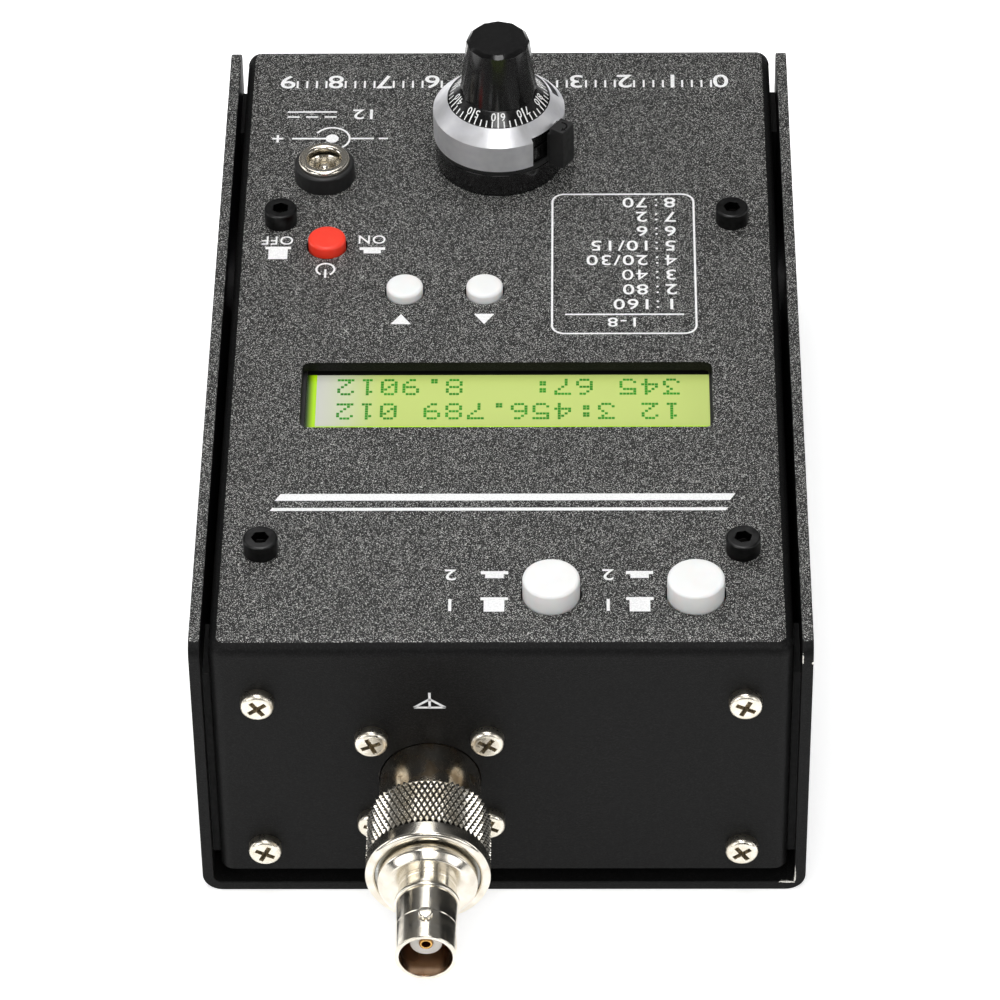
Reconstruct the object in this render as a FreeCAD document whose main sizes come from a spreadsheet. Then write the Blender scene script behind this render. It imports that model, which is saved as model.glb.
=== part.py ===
"""Desktop antenna analyser: a folded sheet-metal box with a display, a ten-turn
dial, five push buttons, a power socket and a coaxial antenna connector.

Frame, in millimetres: the origin is the centre of the underside, +X runs to
the right along the front wall, +Y runs from the front wall (antenna connector)
to the rear wall, and +Z points up out of the control panel. The driving sizes
are in the sheet "Sizes", and every feature is bound to them by a formula.
"""
import FreeCAD
import Part
import Sketcher
import math
import os
from FreeCAD import Placement, Rotation, Vector

doc = FreeCAD.newDocument("antenna_analyser")

# name, size in millimetres, meaning. Angles are in degrees and say so.
SIZES = [
    # folded box
    ("length", 152.0, "box along Y"),
    ("width", 97.0, "box along X, over the cover"),
    ("height", 54.0, "box along Z"),
    ("sheet", 1.8, "thickness of both folded sheets"),
    ("bend", 0.5, "inside radius of the chassis bends"),
    ("cover_bend", 1.4, "inside radius of the cover bends"),
    ("cover_corner", 2.6, "rounded upper corners of the cover's side walls"),
    ("side_gap", 1.2, "space between chassis and cover side walls"),
    ("floor_gap", 3.1, "space between the end walls and the cover's floor"),
    ("flange_drop", 7.6, "depth of the chassis side flanges, from the panel face"),
    ("relief", 1.3, "width of the relief slots at the panel's corners"),
    ("shake", 0.3, "space left round pieces that only pass each other"),
    # screws
    ("screw_radius", 1.5, "shank of the M3 screws"),
    ("thread_play", 0.05, "radial play of a screw in its thread"),
    ("hole_play", 0.2, "radial play of a screw in a clear hole"),
    ("pan_radius", 2.65, "head of the cross-recessed screws"),
    ("pan_height", 1.9, "height of that head"),
    ("pan_round", 0.8, "rounding of that head"),
    ("recess_span", 3.3, "cross recess, tip to tip"),
    ("recess_blade", 0.75, "cross recess, width of an arm"),
    ("recess_depth", 1.2, "cross recess, depth"),
    ("cap_radius", 2.75, "head of the socket screws"),
    ("cap_height", 3.0, "height of that head"),
    ("cap_edge", 0.35, "rounding of that head"),
    ("socket_flats", 2.5, "hexagon socket across flats"),
    ("socket_depth", 1.7, "hexagon socket depth"),
    ("end_screw_length", 6.0, "shank of the end-wall screws"),
    ("corner_inset", 10.4, "end-wall screws from the box's sides"),
    ("corner_low", 10.1, "lower end-wall screws from the underside"),
    ("corner_drop", 11.6, "upper end-wall screws below the panel face"),
    ("bracket_wall", 3.0, "thickness of the corner brackets"),
    ("bracket_leg", 12.0, "length of a bracket's leg along the side wall"),
    ("bracket_margin", 3.6, "bracket beyond its screws"),
    ("bracket_reach", 5.0, "bracket inwards of its screws"),
    # posts and boards
    ("post_inset", 10.5, "panel posts from the box's sides"),
    ("post_front", 22.0, "front posts from the front face"),
    ("post_rear", 104.1, "rear posts from the front face"),
    ("post_flats", 5.5, "posts across flats"),
    ("panel_screw_length", 8.0, "shank of the socket screws"),
    ("board_screw_grip", 4.4, "board screws inside the posts"),
    ("board_drop", 20.2, "main board's top below the panel's underside"),
    ("board_thick", 1.6, "circuit boards"),
    ("board_side", 6.0, "main board from the box's sides"),
    ("board_front", 5.5, "main board's front edge from the front face"),
    ("board_rear", 109.5, "main board's rear edge from the front face"),
    ("notch_depth", 16.5, "board notch behind the antenna jack, from the front face"),
    ("notch_play", 1.5, "board notch beside the jack's flange"),
    # display
    ("window_x", 0.45, "window centre along X"),
    ("window_y", 59.5, "window centre from the front face"),
    ("window_wide", 67.0, "window along X"),
    ("window_tall", 16.0, "window along Y"),
    ("window_corner", 1.3, "window corner radius"),
    ("lcd_x", 0.6, "display centre along X"),
    ("lcd_y", 60.8, "display centre from the front face"),
    ("lcd_wide", 80.0, "display board along X"),
    ("lcd_tall", 36.0, "display board along Y"),
    ("lcd_hole_inset", 2.5, "display board holes from its edges"),
    ("bezel_margin_x", 4.4, "display frame inside its board along X"),
    ("bezel_margin_y", 5.9, "display frame inside its board along Y"),
    ("bezel_height", 9.6, "display frame above its board"),
    ("bezel_sheet", 0.6, "wall of the display frame"),
    ("bezel_face", 0.8, "face of the display frame"),
    ("bezel_rim_x", 2.7, "face of the display frame beside its opening"),
    ("bezel_rim_y", 3.8, "face of the display frame above and below it"),
    ("glass_thick", 2.8, "display glass"),
    ("glass_play", 0.2, "play of glass and light block in the frame"),
    ("spacer_radius", 2.5, "display spacers"),
    ("small_screw_radius", 1.25, "shank of the M2.5 display screws"),
    ("small_head_radius", 2.2, "head of the display screws"),
    ("small_head_height", 1.5, "height of that head"),
    ("small_screw_grip", 4.0, "display screws inside the spacers"),
    ("pin_pitch", 2.54, "header pin pitch"),
    ("pin_thick", 0.64, "header pin, square"),
    ("pin_play", 0.06, "play round a header pin in its strip"),
    ("pin_stick", 1.0, "header pin beyond each board"),
    ("pin_inset", 8.0, "first header pin from the display board's edge"),
    ("strip_wide", 2.5, "header strip"),
    # antenna jack; stations are measured outwards from the front face
    ("jack_x", -11.4, "antenna axis along X"),
    ("jack_drop", 28.85, "antenna axis below the panel face"),
    ("jack_radius", 7.94, "jack barrel, 5/8 inch"),
    ("jack_nose", 17.5, "jack's front end"),
    ("jack_edge", 0.5, "chamfer of that end"),
    ("jack_bore", 4.3, "jack bore radius"),
    ("jack_well", 9.5, "depth of the jack's open bore"),
    ("jack_back", 9.0, "jack's rear end behind the front face"),
    ("jack_boss", 6.0, "rear boss radius"),
    ("flange_size", 25.4, "square flange"),
    ("flange_thick", 3.0, "flange"),
    ("flange_span", 18.26, "flange hole spacing"),
    ("wall_play", 0.15, "jack barrel in its wall hole, radial"),
    ("flange_screw_length", 8.0, "shank of the flange screws"),
    ("nut_flats", 5.5, "M3 nuts across flats"),
    ("nut_height", 2.4, "M3 nuts"),
    ("fixed_play", 0.02, "radial play of pieces pressed together"),
    ("turn_play", 0.06, "radial play of pieces that turn on each other"),
    ("contact_radius", 1.5, "jack contact"),
    ("contact_wall", 0.6, "wall of the jack contact's socket"),
    ("contact_recess", 0.5, "jack contact behind the jack's front end"),
    ("contact_back", 13.0, "jack contact behind the front face"),
    # coaxial adapter, from its shoulder's rear face outwards
    ("gasket_thick", 1.2, "gasket between jack and adapter"),
    ("gasket_inset", 0.94, "gasket inside the jack's rim"),
    ("sleeve_play", 0.3, "space round the adapter sleeve in the jack"),
    ("sleeve_wall", 0.5, "wall of that sleeve"),
    ("sleeve_long", 8.7, "sleeve behind the shoulder"),
    ("shoulder_play", 0.2, "adapter shoulder in the nut, radial"),
    ("shoulder_long", 5.5, "adapter shoulder"),
    ("shoulder_edge", 1.1, "chamfer of the shoulder's front"),
    ("neck_radius", 4.55, "adapter neck"),
    ("neck_long", 2.2, "adapter neck"),
    ("collar_radius", 5.1, "collar between neck and bayonet shell"),
    ("collar_long", 1.4, "collar between neck and bayonet shell"),
    ("collar_round", 0.4, "rounded edges of that collar"),
    ("shell_radius", 4.83, "bayonet shell outside"),
    ("shell_wall", 0.73, "wall of the bayonet shell"),
    ("shell_long", 10.8, "bayonet shell"),
    ("shell_deep", 11.4, "depth of the bayonet shell's bore"),
    ("shell_relief", 0.17, "how much less the shell's radius is behind its front stretch"),
    ("lug_back", 4.6, "bayonet lugs behind the mouth"),
    ("lug_rise", 0.67, "bayonet lugs above the shell"),
    ("lug_radius", 1.15, "bayonet lugs"),
    ("tip_radius", 2.5, "adapter insulator"),
    ("tip_recess", 3.1, "adapter insulator behind the mouth"),
    ("pin_radius", 1.05, "adapter contact"),
    ("pin_recess", 2.8, "adapter contact behind the mouth"),
    ("pin_wall", 0.4, "wall of the adapter contact's socket"),
    ("tail_play", 0.08, "adapter contact's rear pin in the jack contact"),
    ("tail_long", 6.7, "rear pin behind the shoulder"),
    ("nut_grip", 8.0, "coupling nut over the jack"),
    ("nut_over", 3.0, "coupling nut over the shoulder"),
    ("nut_wall", 1.8, "coupling nut, from its bore to its outside"),
    ("nut_rim", 2.8, "smooth rim in front of the knurl"),
    ("nut_line", 0.15, "line turned between knurl and rim"),
    ("nut_edge", 0.3, "chamfers of the coupling nut"),
    ("nut_lip", 0.8, "coupling nut's front lip, length"),
    ("lip_play", 0.2, "front lip outside the nut's bore"),
    ("clip_thick", 0.8, "retaining clip"),
    ("clip_rise", 0.45, "retaining clip outside the nut's bore"),
    ("clip_bite", 0.8, "depth of the clip's groove in the shoulder"),
    # ten-turn potentiometer; heights are above the panel face
    ("dial_x", -1.3, "dial axis along X"),
    ("dial_y", 121.5, "dial axis from the front face"),
    ("pot_radius", 11.1, "potentiometer body"),
    ("pot_depth", 19.5, "potentiometer body below the panel"),
    ("pot_cap", 6.0, "solid rear end of the potentiometer"),
    ("bush_radius", 4.76, "threaded bush, 3/8 inch"),
    ("bush_root", 3.0, "bush inside the body"),
    ("bush_top", 6.3, "bush above the panel face"),
    ("bush_play", 0.14, "bush in the panel and the dial base, radial"),
    ("shaft_radius", 3.175, "shaft, 1/4 inch"),
    ("shaft_top", 19.8, "shaft's upper end"),
    ("shaft_play", 0.05, "radial play of the shaft in the bush"),
    ("washer_radius", 6.9, "lock washer"),
    ("washer_thick", 0.8, "lock washer"),
    ("bush_nut_flats", 12.7, "bush nut across flats"),
    ("bush_nut_height", 2.4, "bush nut"),
    ("tab_long", 5.0, "potentiometer terminals"),
    ("tab_wide", 1.8, "potentiometer terminals"),
    ("tab_thick", 0.5, "potentiometer terminals"),
    ("tab_pitch", 5.0, "potentiometer terminals"),
    # counting dial
    ("base_radius", 10.9, "dial base"),
    ("base_step", 4.4, "step that carries the brake ring"),
    ("base_floor", 1.2, "clamped floor of the dial base"),
    ("spigot_radius", 10.25, "spigot inside the brake and dial rings"),
    ("spigot_top", 8.2, "spigot's upper end"),
    ("brake_thick", 0.9, "brake ring"),
    ("brake_play", 0.1, "running play of the brake ring"),
    ("ring_radius", 11.18, "dial ring outside"),
    ("ring_seat", 0.05, "radial play of the dial ring on the spigot"),
    ("ring_shoulder", 10.5, "dial ring's cylindrical side ends"),
    ("ring_top", 12.85, "dial ring's inner rim"),
    ("ring_eye_play", 0.3, "space between graduated skirt and dial ring"),
    ("ring_face", 0.95, "thickness of the dial ring's sloping face, upright"),
    ("cutout_from", -58.5, "brake cut-out, first edge, degrees"),
    ("cutout_to", -22.0, "brake cut-out, last edge, degrees"),
    ("cutout_rise", 0.5, "brake cut-out above the cylindrical side"),
    ("slot_middle", 25.0, "window slot, middle, degrees"),
    ("slot_half", 14.0, "window slot, half its arc, degrees"),
    ("slot_in", 9.25, "window slot, inner radius"),
    ("slot_out", 10.35, "window slot, outer radius"),
    ("counter_inset", 0.05, "counter ring's bore outside the dial ring's"),
    ("counter_play", 0.35, "space between counter ring and dial ring, upright"),
    ("ledge_play", 0.2, "space between counter ring and its ledge"),
    ("lever_middle", -33.0, "brake lever, degrees"),
    ("lever_wide", 3.4, "brake lever"),
    ("lever_neck", 2.8, "brake lever's neck"),
    ("lever_reach", 14.1, "brake lever's outer end from the axis"),
    ("lever_top", 12.1, "brake lever's top"),
    ("scale_radius", 8.4, "graduated skirt"),
    ("scale_low", 12.8, "lower edge of the graduated cone"),
    ("scale_rise", 1.9, "height of the graduated cone"),
    ("scale_play", 0.4, "skirt above the spigot"),
    ("hub_step", 0.57, "knob hub inside the knob's corners"),
    ("knob_radius", 6.47, "knob at its foot"),
    ("knob_top_radius", 5.35, "knob at its top"),
    ("knob_height", 10.0, "knob from its foot to its upper rim"),
    ("knob_crown", 0.6, "height of the knob's bevelled crown"),
    ("knob_bevel", 0.6, "width of that bevel"),
    ("set_screw_height", 17.6, "set screw"),
    ("set_screw_flats", 1.5, "set screw's socket across flats"),
    # power socket
    ("inlet_inset", 17.5, "power socket from the box's left side"),
    ("inlet_y", 116.1, "power socket from the front face"),
    ("inlet_radius", 5.4, "socket body below the panel"),
    ("inlet_depth", 12.0, "socket body below the panel"),
    ("inlet_neck", 4.0, "socket neck through the panel"),
    ("inlet_collar", 5.1, "collar nut"),
    ("inlet_height", 3.3, "collar nut"),
    ("inlet_edge", 0.5, "rounding of the collar nut"),
    ("inlet_lip", 4.35, "nickel sleeve's lip"),
    ("inlet_lip_height", 0.85, "nickel sleeve's lip"),
    ("inlet_lip_round", 0.6, "outer rounding of that lip"),
    ("inlet_mouth_round", 0.42, "inner rounding of that lip"),
    ("inlet_bore", 2.85, "sleeve bore, for a plug 5.5 mm across"),
    ("inlet_sleeve_wall", 0.5, "sleeve wall"),
    ("inlet_floor", 4.0, "solid floor of the socket body"),
    ("inlet_pin", 1.05, "centre pin"),
    ("inlet_pin_top", 2.6, "centre pin above the panel face"),
    ("inlet_pin_edge", 0.5, "chamfer of the centre pin"),
    ("inlet_tail", 4.0, "centre pin below the socket body"),
    # push buttons
    ("button_play", 0.3, "radial space round a cap in the panel"),
    ("power_inset", 18.5, "power button from the box's left side"),
    ("power_y", 97.6, "power button from the front face"),
    ("power_radius", 3.16, "power cap"),
    ("power_rise", 1.9, "power cap above the panel"),
    ("power_case", 8.0, "power switch, square"),
    ("power_case_height", 8.5, "power switch"),
    ("power_stem", 3.0, "power plunger, square"),
    ("step_y", 85.6, "step buttons from the front face"),
    ("down_x", -16.7, "down button along X"),
    ("up_x", -3.45, "up button along X"),
    ("step_radius", 3.05, "step buttons"),
    ("step_rise", 1.5, "step buttons above the panel"),
    ("step_case", 6.0, "step switches, square"),
    ("step_case_height", 4.0, "step switches"),
    ("step_stem", 1.75, "step buttons' stem radius"),
    ("step_travel", 0.5, "travel of the step buttons"),
    ("band_y", 12.0, "band buttons from the front face"),
    ("band_left_x", 7.8, "left band button along X"),
    ("band_right_inset", 18.1, "right band button from the box's right side"),
    ("band_radius", 4.5, "band caps"),
    ("band_rise", 3.6, "band caps above the panel"),
    ("band_case", 8.5, "band switches, square"),
    ("band_case_height", 9.0, "band switches"),
    ("band_stem", 3.4, "band plungers, square"),
    ("latch_travel", 2.2, "full travel of the latching buttons"),
    ("power_travel", 1.5, "full travel of the power button"),
    ("stem_play", 0.08, "play of a plunger in its switch, each side"),
    ("cap_over", 3.0, "cap bottom above its switch"),
    ("stem_hold", 4.5, "plunger inside its switch at rest"),
    ("step_hold", 1.7, "step button inside its switch at rest"),
    ("cap_grip", 5.0, "plunger inside its cap"),
    ("cap_round", 0.6, "rounding of the caps"),
    # battery
    ("cell_radius", 9.2, "battery cell"),
    ("cell_long", 64.0, "battery cell without its button"),
    ("cell_button", 1.2, "button of a cell"),
    ("cell_button_radius", 3.0, "button of a cell"),
    ("cell_gap", 1.0, "space between cells"),
    ("cell_edge", 0.6, "rounding of a cell's ends"),
    ("tray_wall", 1.6, "battery tray"),
    ("tray_height", 14.0, "battery tray"),
    ("tray_y", 73.0, "battery tray's middle from the front face"),
    ("pad_thick", 1.0, "adhesive pad under the tray"),
    ("pad_margin", 3.0, "tray beyond the pad"),
    ("plate_thick", 0.5, "battery contact plate"),
    ("plate_size", 10.0, "battery contact plate"),
    ("spring_long", 2.4, "battery contact spring"),
    ("spring_radius", 2.6, "battery contact spring"),
    ("chip_size", 10.0, "integrated circuits"),
    ("chip_height", 1.6, "integrated circuits"),
    ("chip_edge", 0.3, "chamfer of the integrated circuits"),
    ("chip_row", 29.0, "integrated circuits from the front face"),
    ("chip_pitch", 15.0, "integrated circuits along X"),
]

HEADER_PINS = 16
KNOB_FACETS = 12
SLOT_STEPS = 6
SHEET_NAME = "Sizes"
# how far a cut runs past the faces it opens
PAST = 1.0
TINY = 1e-4

UPRIGHT = Rotation()
OUT_OF_FRONT = Rotation(Vector(1, 0, 0), 90)
OUT_OF_REAR = Rotation(Vector(1, 0, 0), -90)
HALF_TURN_X = Rotation(Vector(1, 0, 0), 180)
HALF_TURN_Y = Rotation(Vector(0, 1, 0), 180)
HALF_TURN_Z = Rotation(Vector(0, 0, 1), 180)


class Size:
    """A size together with the sheet formula that gives it."""

    def __init__(self, value, formula):
        self.value = value
        self.formula = formula

    def __add__(self, other):
        other = as_size(other)
        return Size(self.value + other.value, f"({self.formula} + {other.formula})")

    def __sub__(self, other):
        other = as_size(other)
        return Size(self.value - other.value, f"({self.formula} - {other.formula})")

    def __mul__(self, other):
        other = as_size(other)
        return Size(self.value * other.value, f"({self.formula} * {other.formula})")

    def __truediv__(self, other):
        other = as_size(other)
        return Size(self.value / other.value, f"({self.formula} / {other.formula})")

    def __neg__(self):
        return self * -1

    def __radd__(self, other):
        return as_size(other) + self

    def __rsub__(self, other):
        return as_size(other) - self

    def __rmul__(self, other):
        return as_size(other) * self


def as_size(thing):
    """Give a plain number the form of a Size."""
    if isinstance(thing, Size):
        return thing
    return Size(float(thing), f"({float(thing)})")


def cosine(degrees):
    """Cosine of an angle in degrees, as a Size."""
    degrees = as_size(degrees)
    return Size(math.cos(math.radians(degrees.value)), f"cos({degrees.formula} * 1 deg)")


def sine(degrees):
    """Sine of an angle in degrees, as a Size."""
    degrees = as_size(degrees)
    return Size(math.sin(math.radians(degrees.value)), f"sin({degrees.formula} * 1 deg)")


class Sizes:
    """The sheet of driving sizes, each readable as an attribute."""

    def __init__(self, rows):
        table = doc.addObject("Spreadsheet::Sheet", SHEET_NAME)
        for row, (name, value, meaning) in enumerate(rows, 1):
            table.set(f"A{row}", meaning)
            table.set(f"B{row}", str(value))
            table.setAlias(f"B{row}", name)
            setattr(self, name, Size(value, f"{SHEET_NAME}.{name}"))
        doc.recompute()


def bind(thing, path, size):
    """Tie a property of an object to a size's formula."""
    thing.setExpression(path, as_size(size).formula)


# --- outlines drawn in sketches -------------------------------------------


def pin_down(sketch, kind, where, size):
    """Add one driving constraint and tie it to a size."""
    size = as_size(size)
    index = sketch.addConstraint(Sketcher.Constraint(kind, *where, size.value))
    bind(sketch, f"Constraints[{index}]", size)


def circle(x, y, radius):
    """A circle, as a function that draws it in a sketch."""

    def draw(sketch):
        centre = Vector(as_size(x).value, as_size(y).value, 0)
        shape = Part.Circle(centre, Vector(0, 0, 1), as_size(radius).value)
        index = sketch.addGeometry(shape, False)
        pin_down(sketch, "DistanceX", (-1, 1, index, 3), x)
        pin_down(sketch, "DistanceY", (-1, 1, index, 3), y)
        pin_down(sketch, "Radius", (index,), radius)

    return draw


def outline(points):
    """A closed outline of straight lines, as a function that draws it."""
    corners = [(as_size(x), as_size(y)) for x, y in points]

    def draw(sketch):
        first = sketch.GeometryCount
        count = len(corners)
        for number, (x, y) in enumerate(corners):
            next_x, next_y = corners[(number + 1) % count]
            start = Vector(x.value, y.value, 0)
            end = Vector(next_x.value, next_y.value, 0)
            sketch.addGeometry(Part.LineSegment(start, end), False)
        for number, (x, y) in enumerate(corners):
            here = first + number
            following = first + (number + 1) % count
            sketch.addConstraint(Sketcher.Constraint("Coincident", here, 2, following, 1))
            pin_down(sketch, "DistanceX", (-1, 1, here, 1), x)
            pin_down(sketch, "DistanceY", (-1, 1, here, 1), y)

    return draw


def rectangle(low_x, low_y, high_x, high_y):
    """A rectangle between two corners."""
    return outline([(low_x, low_y), (high_x, low_y), (high_x, high_y), (low_x, high_y)])


def square(x, y, size):
    """A square about a centre."""
    return rectangle(x - size / 2, y - size / 2, x + size / 2, y + size / 2)


def polygon(count, radius, first=0.0):
    """A regular polygon about the origin, by the radius of its corners."""
    turns = [first + 360.0 / count * number for number in range(count)]
    return outline([(radius * cosine(turn), radius * sine(turn)) for turn in turns])


def hexagon(flats):
    """A hexagon about the origin, by its size across flats."""
    return polygon(6, flats / math.sqrt(3), 30.0)


def cross(span, blade):
    """The outline of a cross recess about the origin."""
    tip = span / 2
    side = blade / 2
    quarter = [(tip, -side), (tip, side), (side, side)]
    corners = []
    for turn in range(4):
        for x, y in quarter:
            corners.append([(x, y), (-y, x), (-x, -y), (y, -x)][turn])
    return outline(corners)


# --- choosing edges --------------------------------------------------------


def both(size):
    """A place and its mirror image."""
    return (size, -size)


def matches(point, places):
    """Whether a point lies at the given places along the named axes."""
    for axis, wanted in places.items():
        options = wanted if isinstance(wanted, tuple) else (wanted,)
        if min(abs(getattr(point, axis) - as_size(place).value) for place in options) > TINY:
            return False
    return True


def straight(along, **places):
    """Choose straight edges parallel to an axis, by where their middles lie."""
    direction = {"x": Vector(1, 0, 0), "y": Vector(0, 1, 0), "z": Vector(0, 0, 1)}[along]

    def chosen(edge):
        if edge.Degenerated or edge.Curve.TypeId != "Part::GeomLine":
            return False
        parallel = abs(abs(edge.Curve.Direction.dot(direction)) - 1) < TINY
        return parallel and matches(edge.CenterOfMass, places)

    return chosen


def ring(radius, level):
    """Choose circular edges about the Z axis, by radius and height."""

    def chosen(edge):
        if edge.Degenerated or edge.Curve.TypeId != "Part::GeomCircle":
            return False
        right_size = abs(edge.Curve.Radius - as_size(radius).value) < TINY
        return right_size and abs(edge.Curve.Center.z - as_size(level).value) < TINY

    return chosen


# --- pieces ----------------------------------------------------------------

# plane name: the role of the body's origin plane, and whether its normal
# points along the positive axis
PLANES = {"XY": ("XY_Plane", 1), "XZ": ("XZ_Plane", -1), "YZ": ("YZ_Plane", 1)}

parts = []


class Piece:
    """One sub-part: a body whose features are drawn in the body's own frame."""

    def __init__(self, label, at=(0, 0, 0), turn=UPRIGHT, kept=True):
        self.body = doc.addObject("PartDesign::Body", label)
        self.body.Label = label
        self.body.Placement = Placement(Vector(), turn)
        for axis, place in zip("xyz", at):
            bind(self.body, f"Placement.Base.{axis}", place)
        if kept:
            parts.append(self.body)

    def sketch(self, plane, level, shapes):
        """Draw shapes on a plane of the body's frame, shifted along its axis."""
        role, sign = PLANES[plane]
        support = [item for item in self.body.Origin.OriginFeatures if item.Role == role][0]
        sketch = self.body.newObject("Sketcher::SketchObject", f"{self.body.Name}_sketch")
        sketch.AttachmentSupport = [(support, "")]
        sketch.MapMode = "FlatFace"
        bind(sketch, "AttachmentOffset.Base.z", sign * as_size(level))
        for draw in shapes:
            draw(sketch)
        return sketch

    def pad(self, plane, start, end, *shapes):
        """Add material between two levels along the plane's axis."""
        previous = self.body.Tip
        sketch = self.sketch(plane, start, shapes)
        feature = self.body.newObject("PartDesign::Pad", f"{self.body.Name}_pad")
        feature.Profile = sketch
        feature.Reversed = PLANES[plane][1] < 0
        bind(feature, "Length", as_size(end) - start)
        return self.compare(previous, feature, True)

    def pocket(self, plane, start, end, *shapes):
        """Cut material away between two levels along the plane's axis."""
        previous = self.body.Tip
        sketch = self.sketch(plane, start, shapes)
        feature = self.body.newObject("PartDesign::Pocket", f"{self.body.Name}_pocket")
        feature.Profile = sketch
        feature.Reversed = PLANES[plane][1] > 0
        bind(feature, "Length", as_size(end) - start)
        return self.compare(previous, feature, False)

    def spin(self, points):
        """Turn a half section, given as (radius, height) points, about Z."""
        previous = self.body.Tip
        sketch = self.sketch("XZ", 0, [outline(points)])
        feature = self.body.newObject("PartDesign::Revolution", f"{self.body.Name}_turned")
        feature.Profile = sketch
        feature.ReferenceAxis = (sketch, ["V_Axis"])
        feature.Angle = 360
        return self.compare(previous, feature, True)

    def loft(self, low, low_shape, high, high_shape):
        """Add a straight-sided solid between two sections."""
        previous = self.body.Tip
        lower = self.sketch("XY", low, [low_shape])
        upper = self.sketch("XY", high, [high_shape])
        feature = self.body.newObject("PartDesign::AdditiveLoft", f"{self.body.Name}_loft")
        feature.Profile = lower
        feature.Sections = [upper]
        feature.Ruled = True
        return self.compare(previous, feature, True)

    def repeat(self, axis_name, length, count):
        """Repeat the last feature in a row along a sketch axis."""
        previous = self.body.Tip
        sketch = previous.Profile[0]
        feature = self.body.newObject("PartDesign::LinearPattern", f"{self.body.Name}_row")
        feature.Originals = [previous]
        feature.Direction = (sketch, [axis_name])
        feature.Occurrences = count
        bind(feature, "Length", length)
        grows = previous.TypeId == "PartDesign::Pad"
        return self.compare(previous, feature, grows)

    def dress(self, kind, size, choosers):
        """Fillet or chamfer the edges that any of the choosers picks."""
        previous = self.body.Tip
        names = []
        for number, edge in enumerate(previous.Shape.Edges, 1):
            if any(chosen(edge) for chosen in choosers):
                names.append(f"Edge{number}")
        if not names:
            raise RuntimeError(f"{self.body.Label}: no edge to {kind}")
        feature = self.body.newObject(f"PartDesign::{kind}", f"{self.body.Name}_{kind.lower()}")
        feature.Base = (previous, names)
        bind(feature, "Radius" if kind == "Fillet" else "Size", size)
        self.body.Tip = feature
        doc.recompute()
        return self

    def fillet(self, radius, *choosers):
        """Round edges."""
        return self.dress("Fillet", radius, choosers)

    def chamfer(self, size, *choosers):
        """Bevel edges."""
        return self.dress("Chamfer", size, choosers)

    def compare(self, previous, feature, grows):
        """Make the feature the tip, and check that it added or cut material."""
        before = previous.Shape.Volume if previous else 0.0
        self.body.Tip = feature
        doc.recompute()
        change = feature.Shape.Volume - before
        if (change if grows else -change) < TINY:
            raise RuntimeError(f"{self.body.Label}: {feature.Name} changes nothing")
        return self


def copies_of(piece, spots):
    """Linked copies of a piece, each at a spot (x, y, z, turn)."""
    copies = []
    for x, y, z, turn in spots:
        copy = doc.addObject("App::Link", f"{piece.body.Name}_copy")
        copy.LinkedObject = piece.body
        copy.LinkTransform = False
        copy.Placement = Placement(Vector(), turn)
        for axis, place in zip("xyz", (x, y, z)):
            bind(copy, f"Placement.Base.{axis}", place)
        copies.append(copy)
    return copies


def group(label, *copies):
    """Collect loose copies into one sub-part."""
    compound = doc.addObject("Part::Compound", label)
    compound.Label = label
    compound.Links = copies
    parts.append(compound)


size = Sizes(SIZES)

# --- places shared by several pieces ----------------------------------------

half_long = size.length / 2
half_wide = size.width / 2
panel_top = size.height
panel_under = size.height - size.sheet
wall_in = half_long - size.sheet
wall_bottom = size.sheet + size.floor_gap
cover_in = half_wide - size.sheet
chassis_x = cover_in - size.side_gap
outer_bend = size.bend + size.sheet
clear_radius = size.screw_radius + size.hole_play
tapped_radius = size.screw_radius + size.thread_play


def from_front(distance):
    """Y of a place given by its distance behind the front face."""
    return distance - half_long


def above(height):
    """Z of a place given by its height above the panel face."""
    return panel_top + height


corner_x = half_wide - size.corner_inset
corner_high = panel_top - size.corner_drop
corner_middle = (size.corner_low + corner_high) / 2
corner_half = (corner_high - size.corner_low) / 2
post_x = half_wide - size.post_inset
post_spots = [(x, from_front(y)) for x in both(post_x) for y in (size.post_front, size.post_rear)]
board_top = panel_under - size.board_drop
board_under = board_top - size.board_thick
lcd_y = from_front(size.lcd_y)
lcd_top = panel_under - size.bezel_height
lcd_under = lcd_top - size.board_thick
lcd_half_x = size.lcd_wide / 2
lcd_half_y = size.lcd_tall / 2
lcd_holes = [
    (size.lcd_x + x, lcd_y + y)
    for x in both(lcd_half_x - size.lcd_hole_inset)
    for y in both(lcd_half_y - size.lcd_hole_inset)
]
pin_row_y = lcd_y - lcd_half_y + size.lcd_hole_inset
pin_row_x = size.lcd_x - lcd_half_x + size.pin_inset
pin_row_long = size.pin_pitch * (HEADER_PINS - 1)
jack_z = panel_top - size.jack_drop
dial_y = from_front(size.dial_y)
pot_bottom = panel_under - size.pot_depth
inlet_x = size.inlet_inset - half_wide
inlet_y = from_front(size.inlet_y)
inlet_bottom = panel_under - size.inlet_depth
power_x = size.power_inset - half_wide
power_y = from_front(size.power_y)
step_y = from_front(size.step_y)
band_y = from_front(size.band_y)
band_right_x = half_wide - size.band_right_inset


# --- sheet-metal box ---------------------------------------------------------


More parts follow.
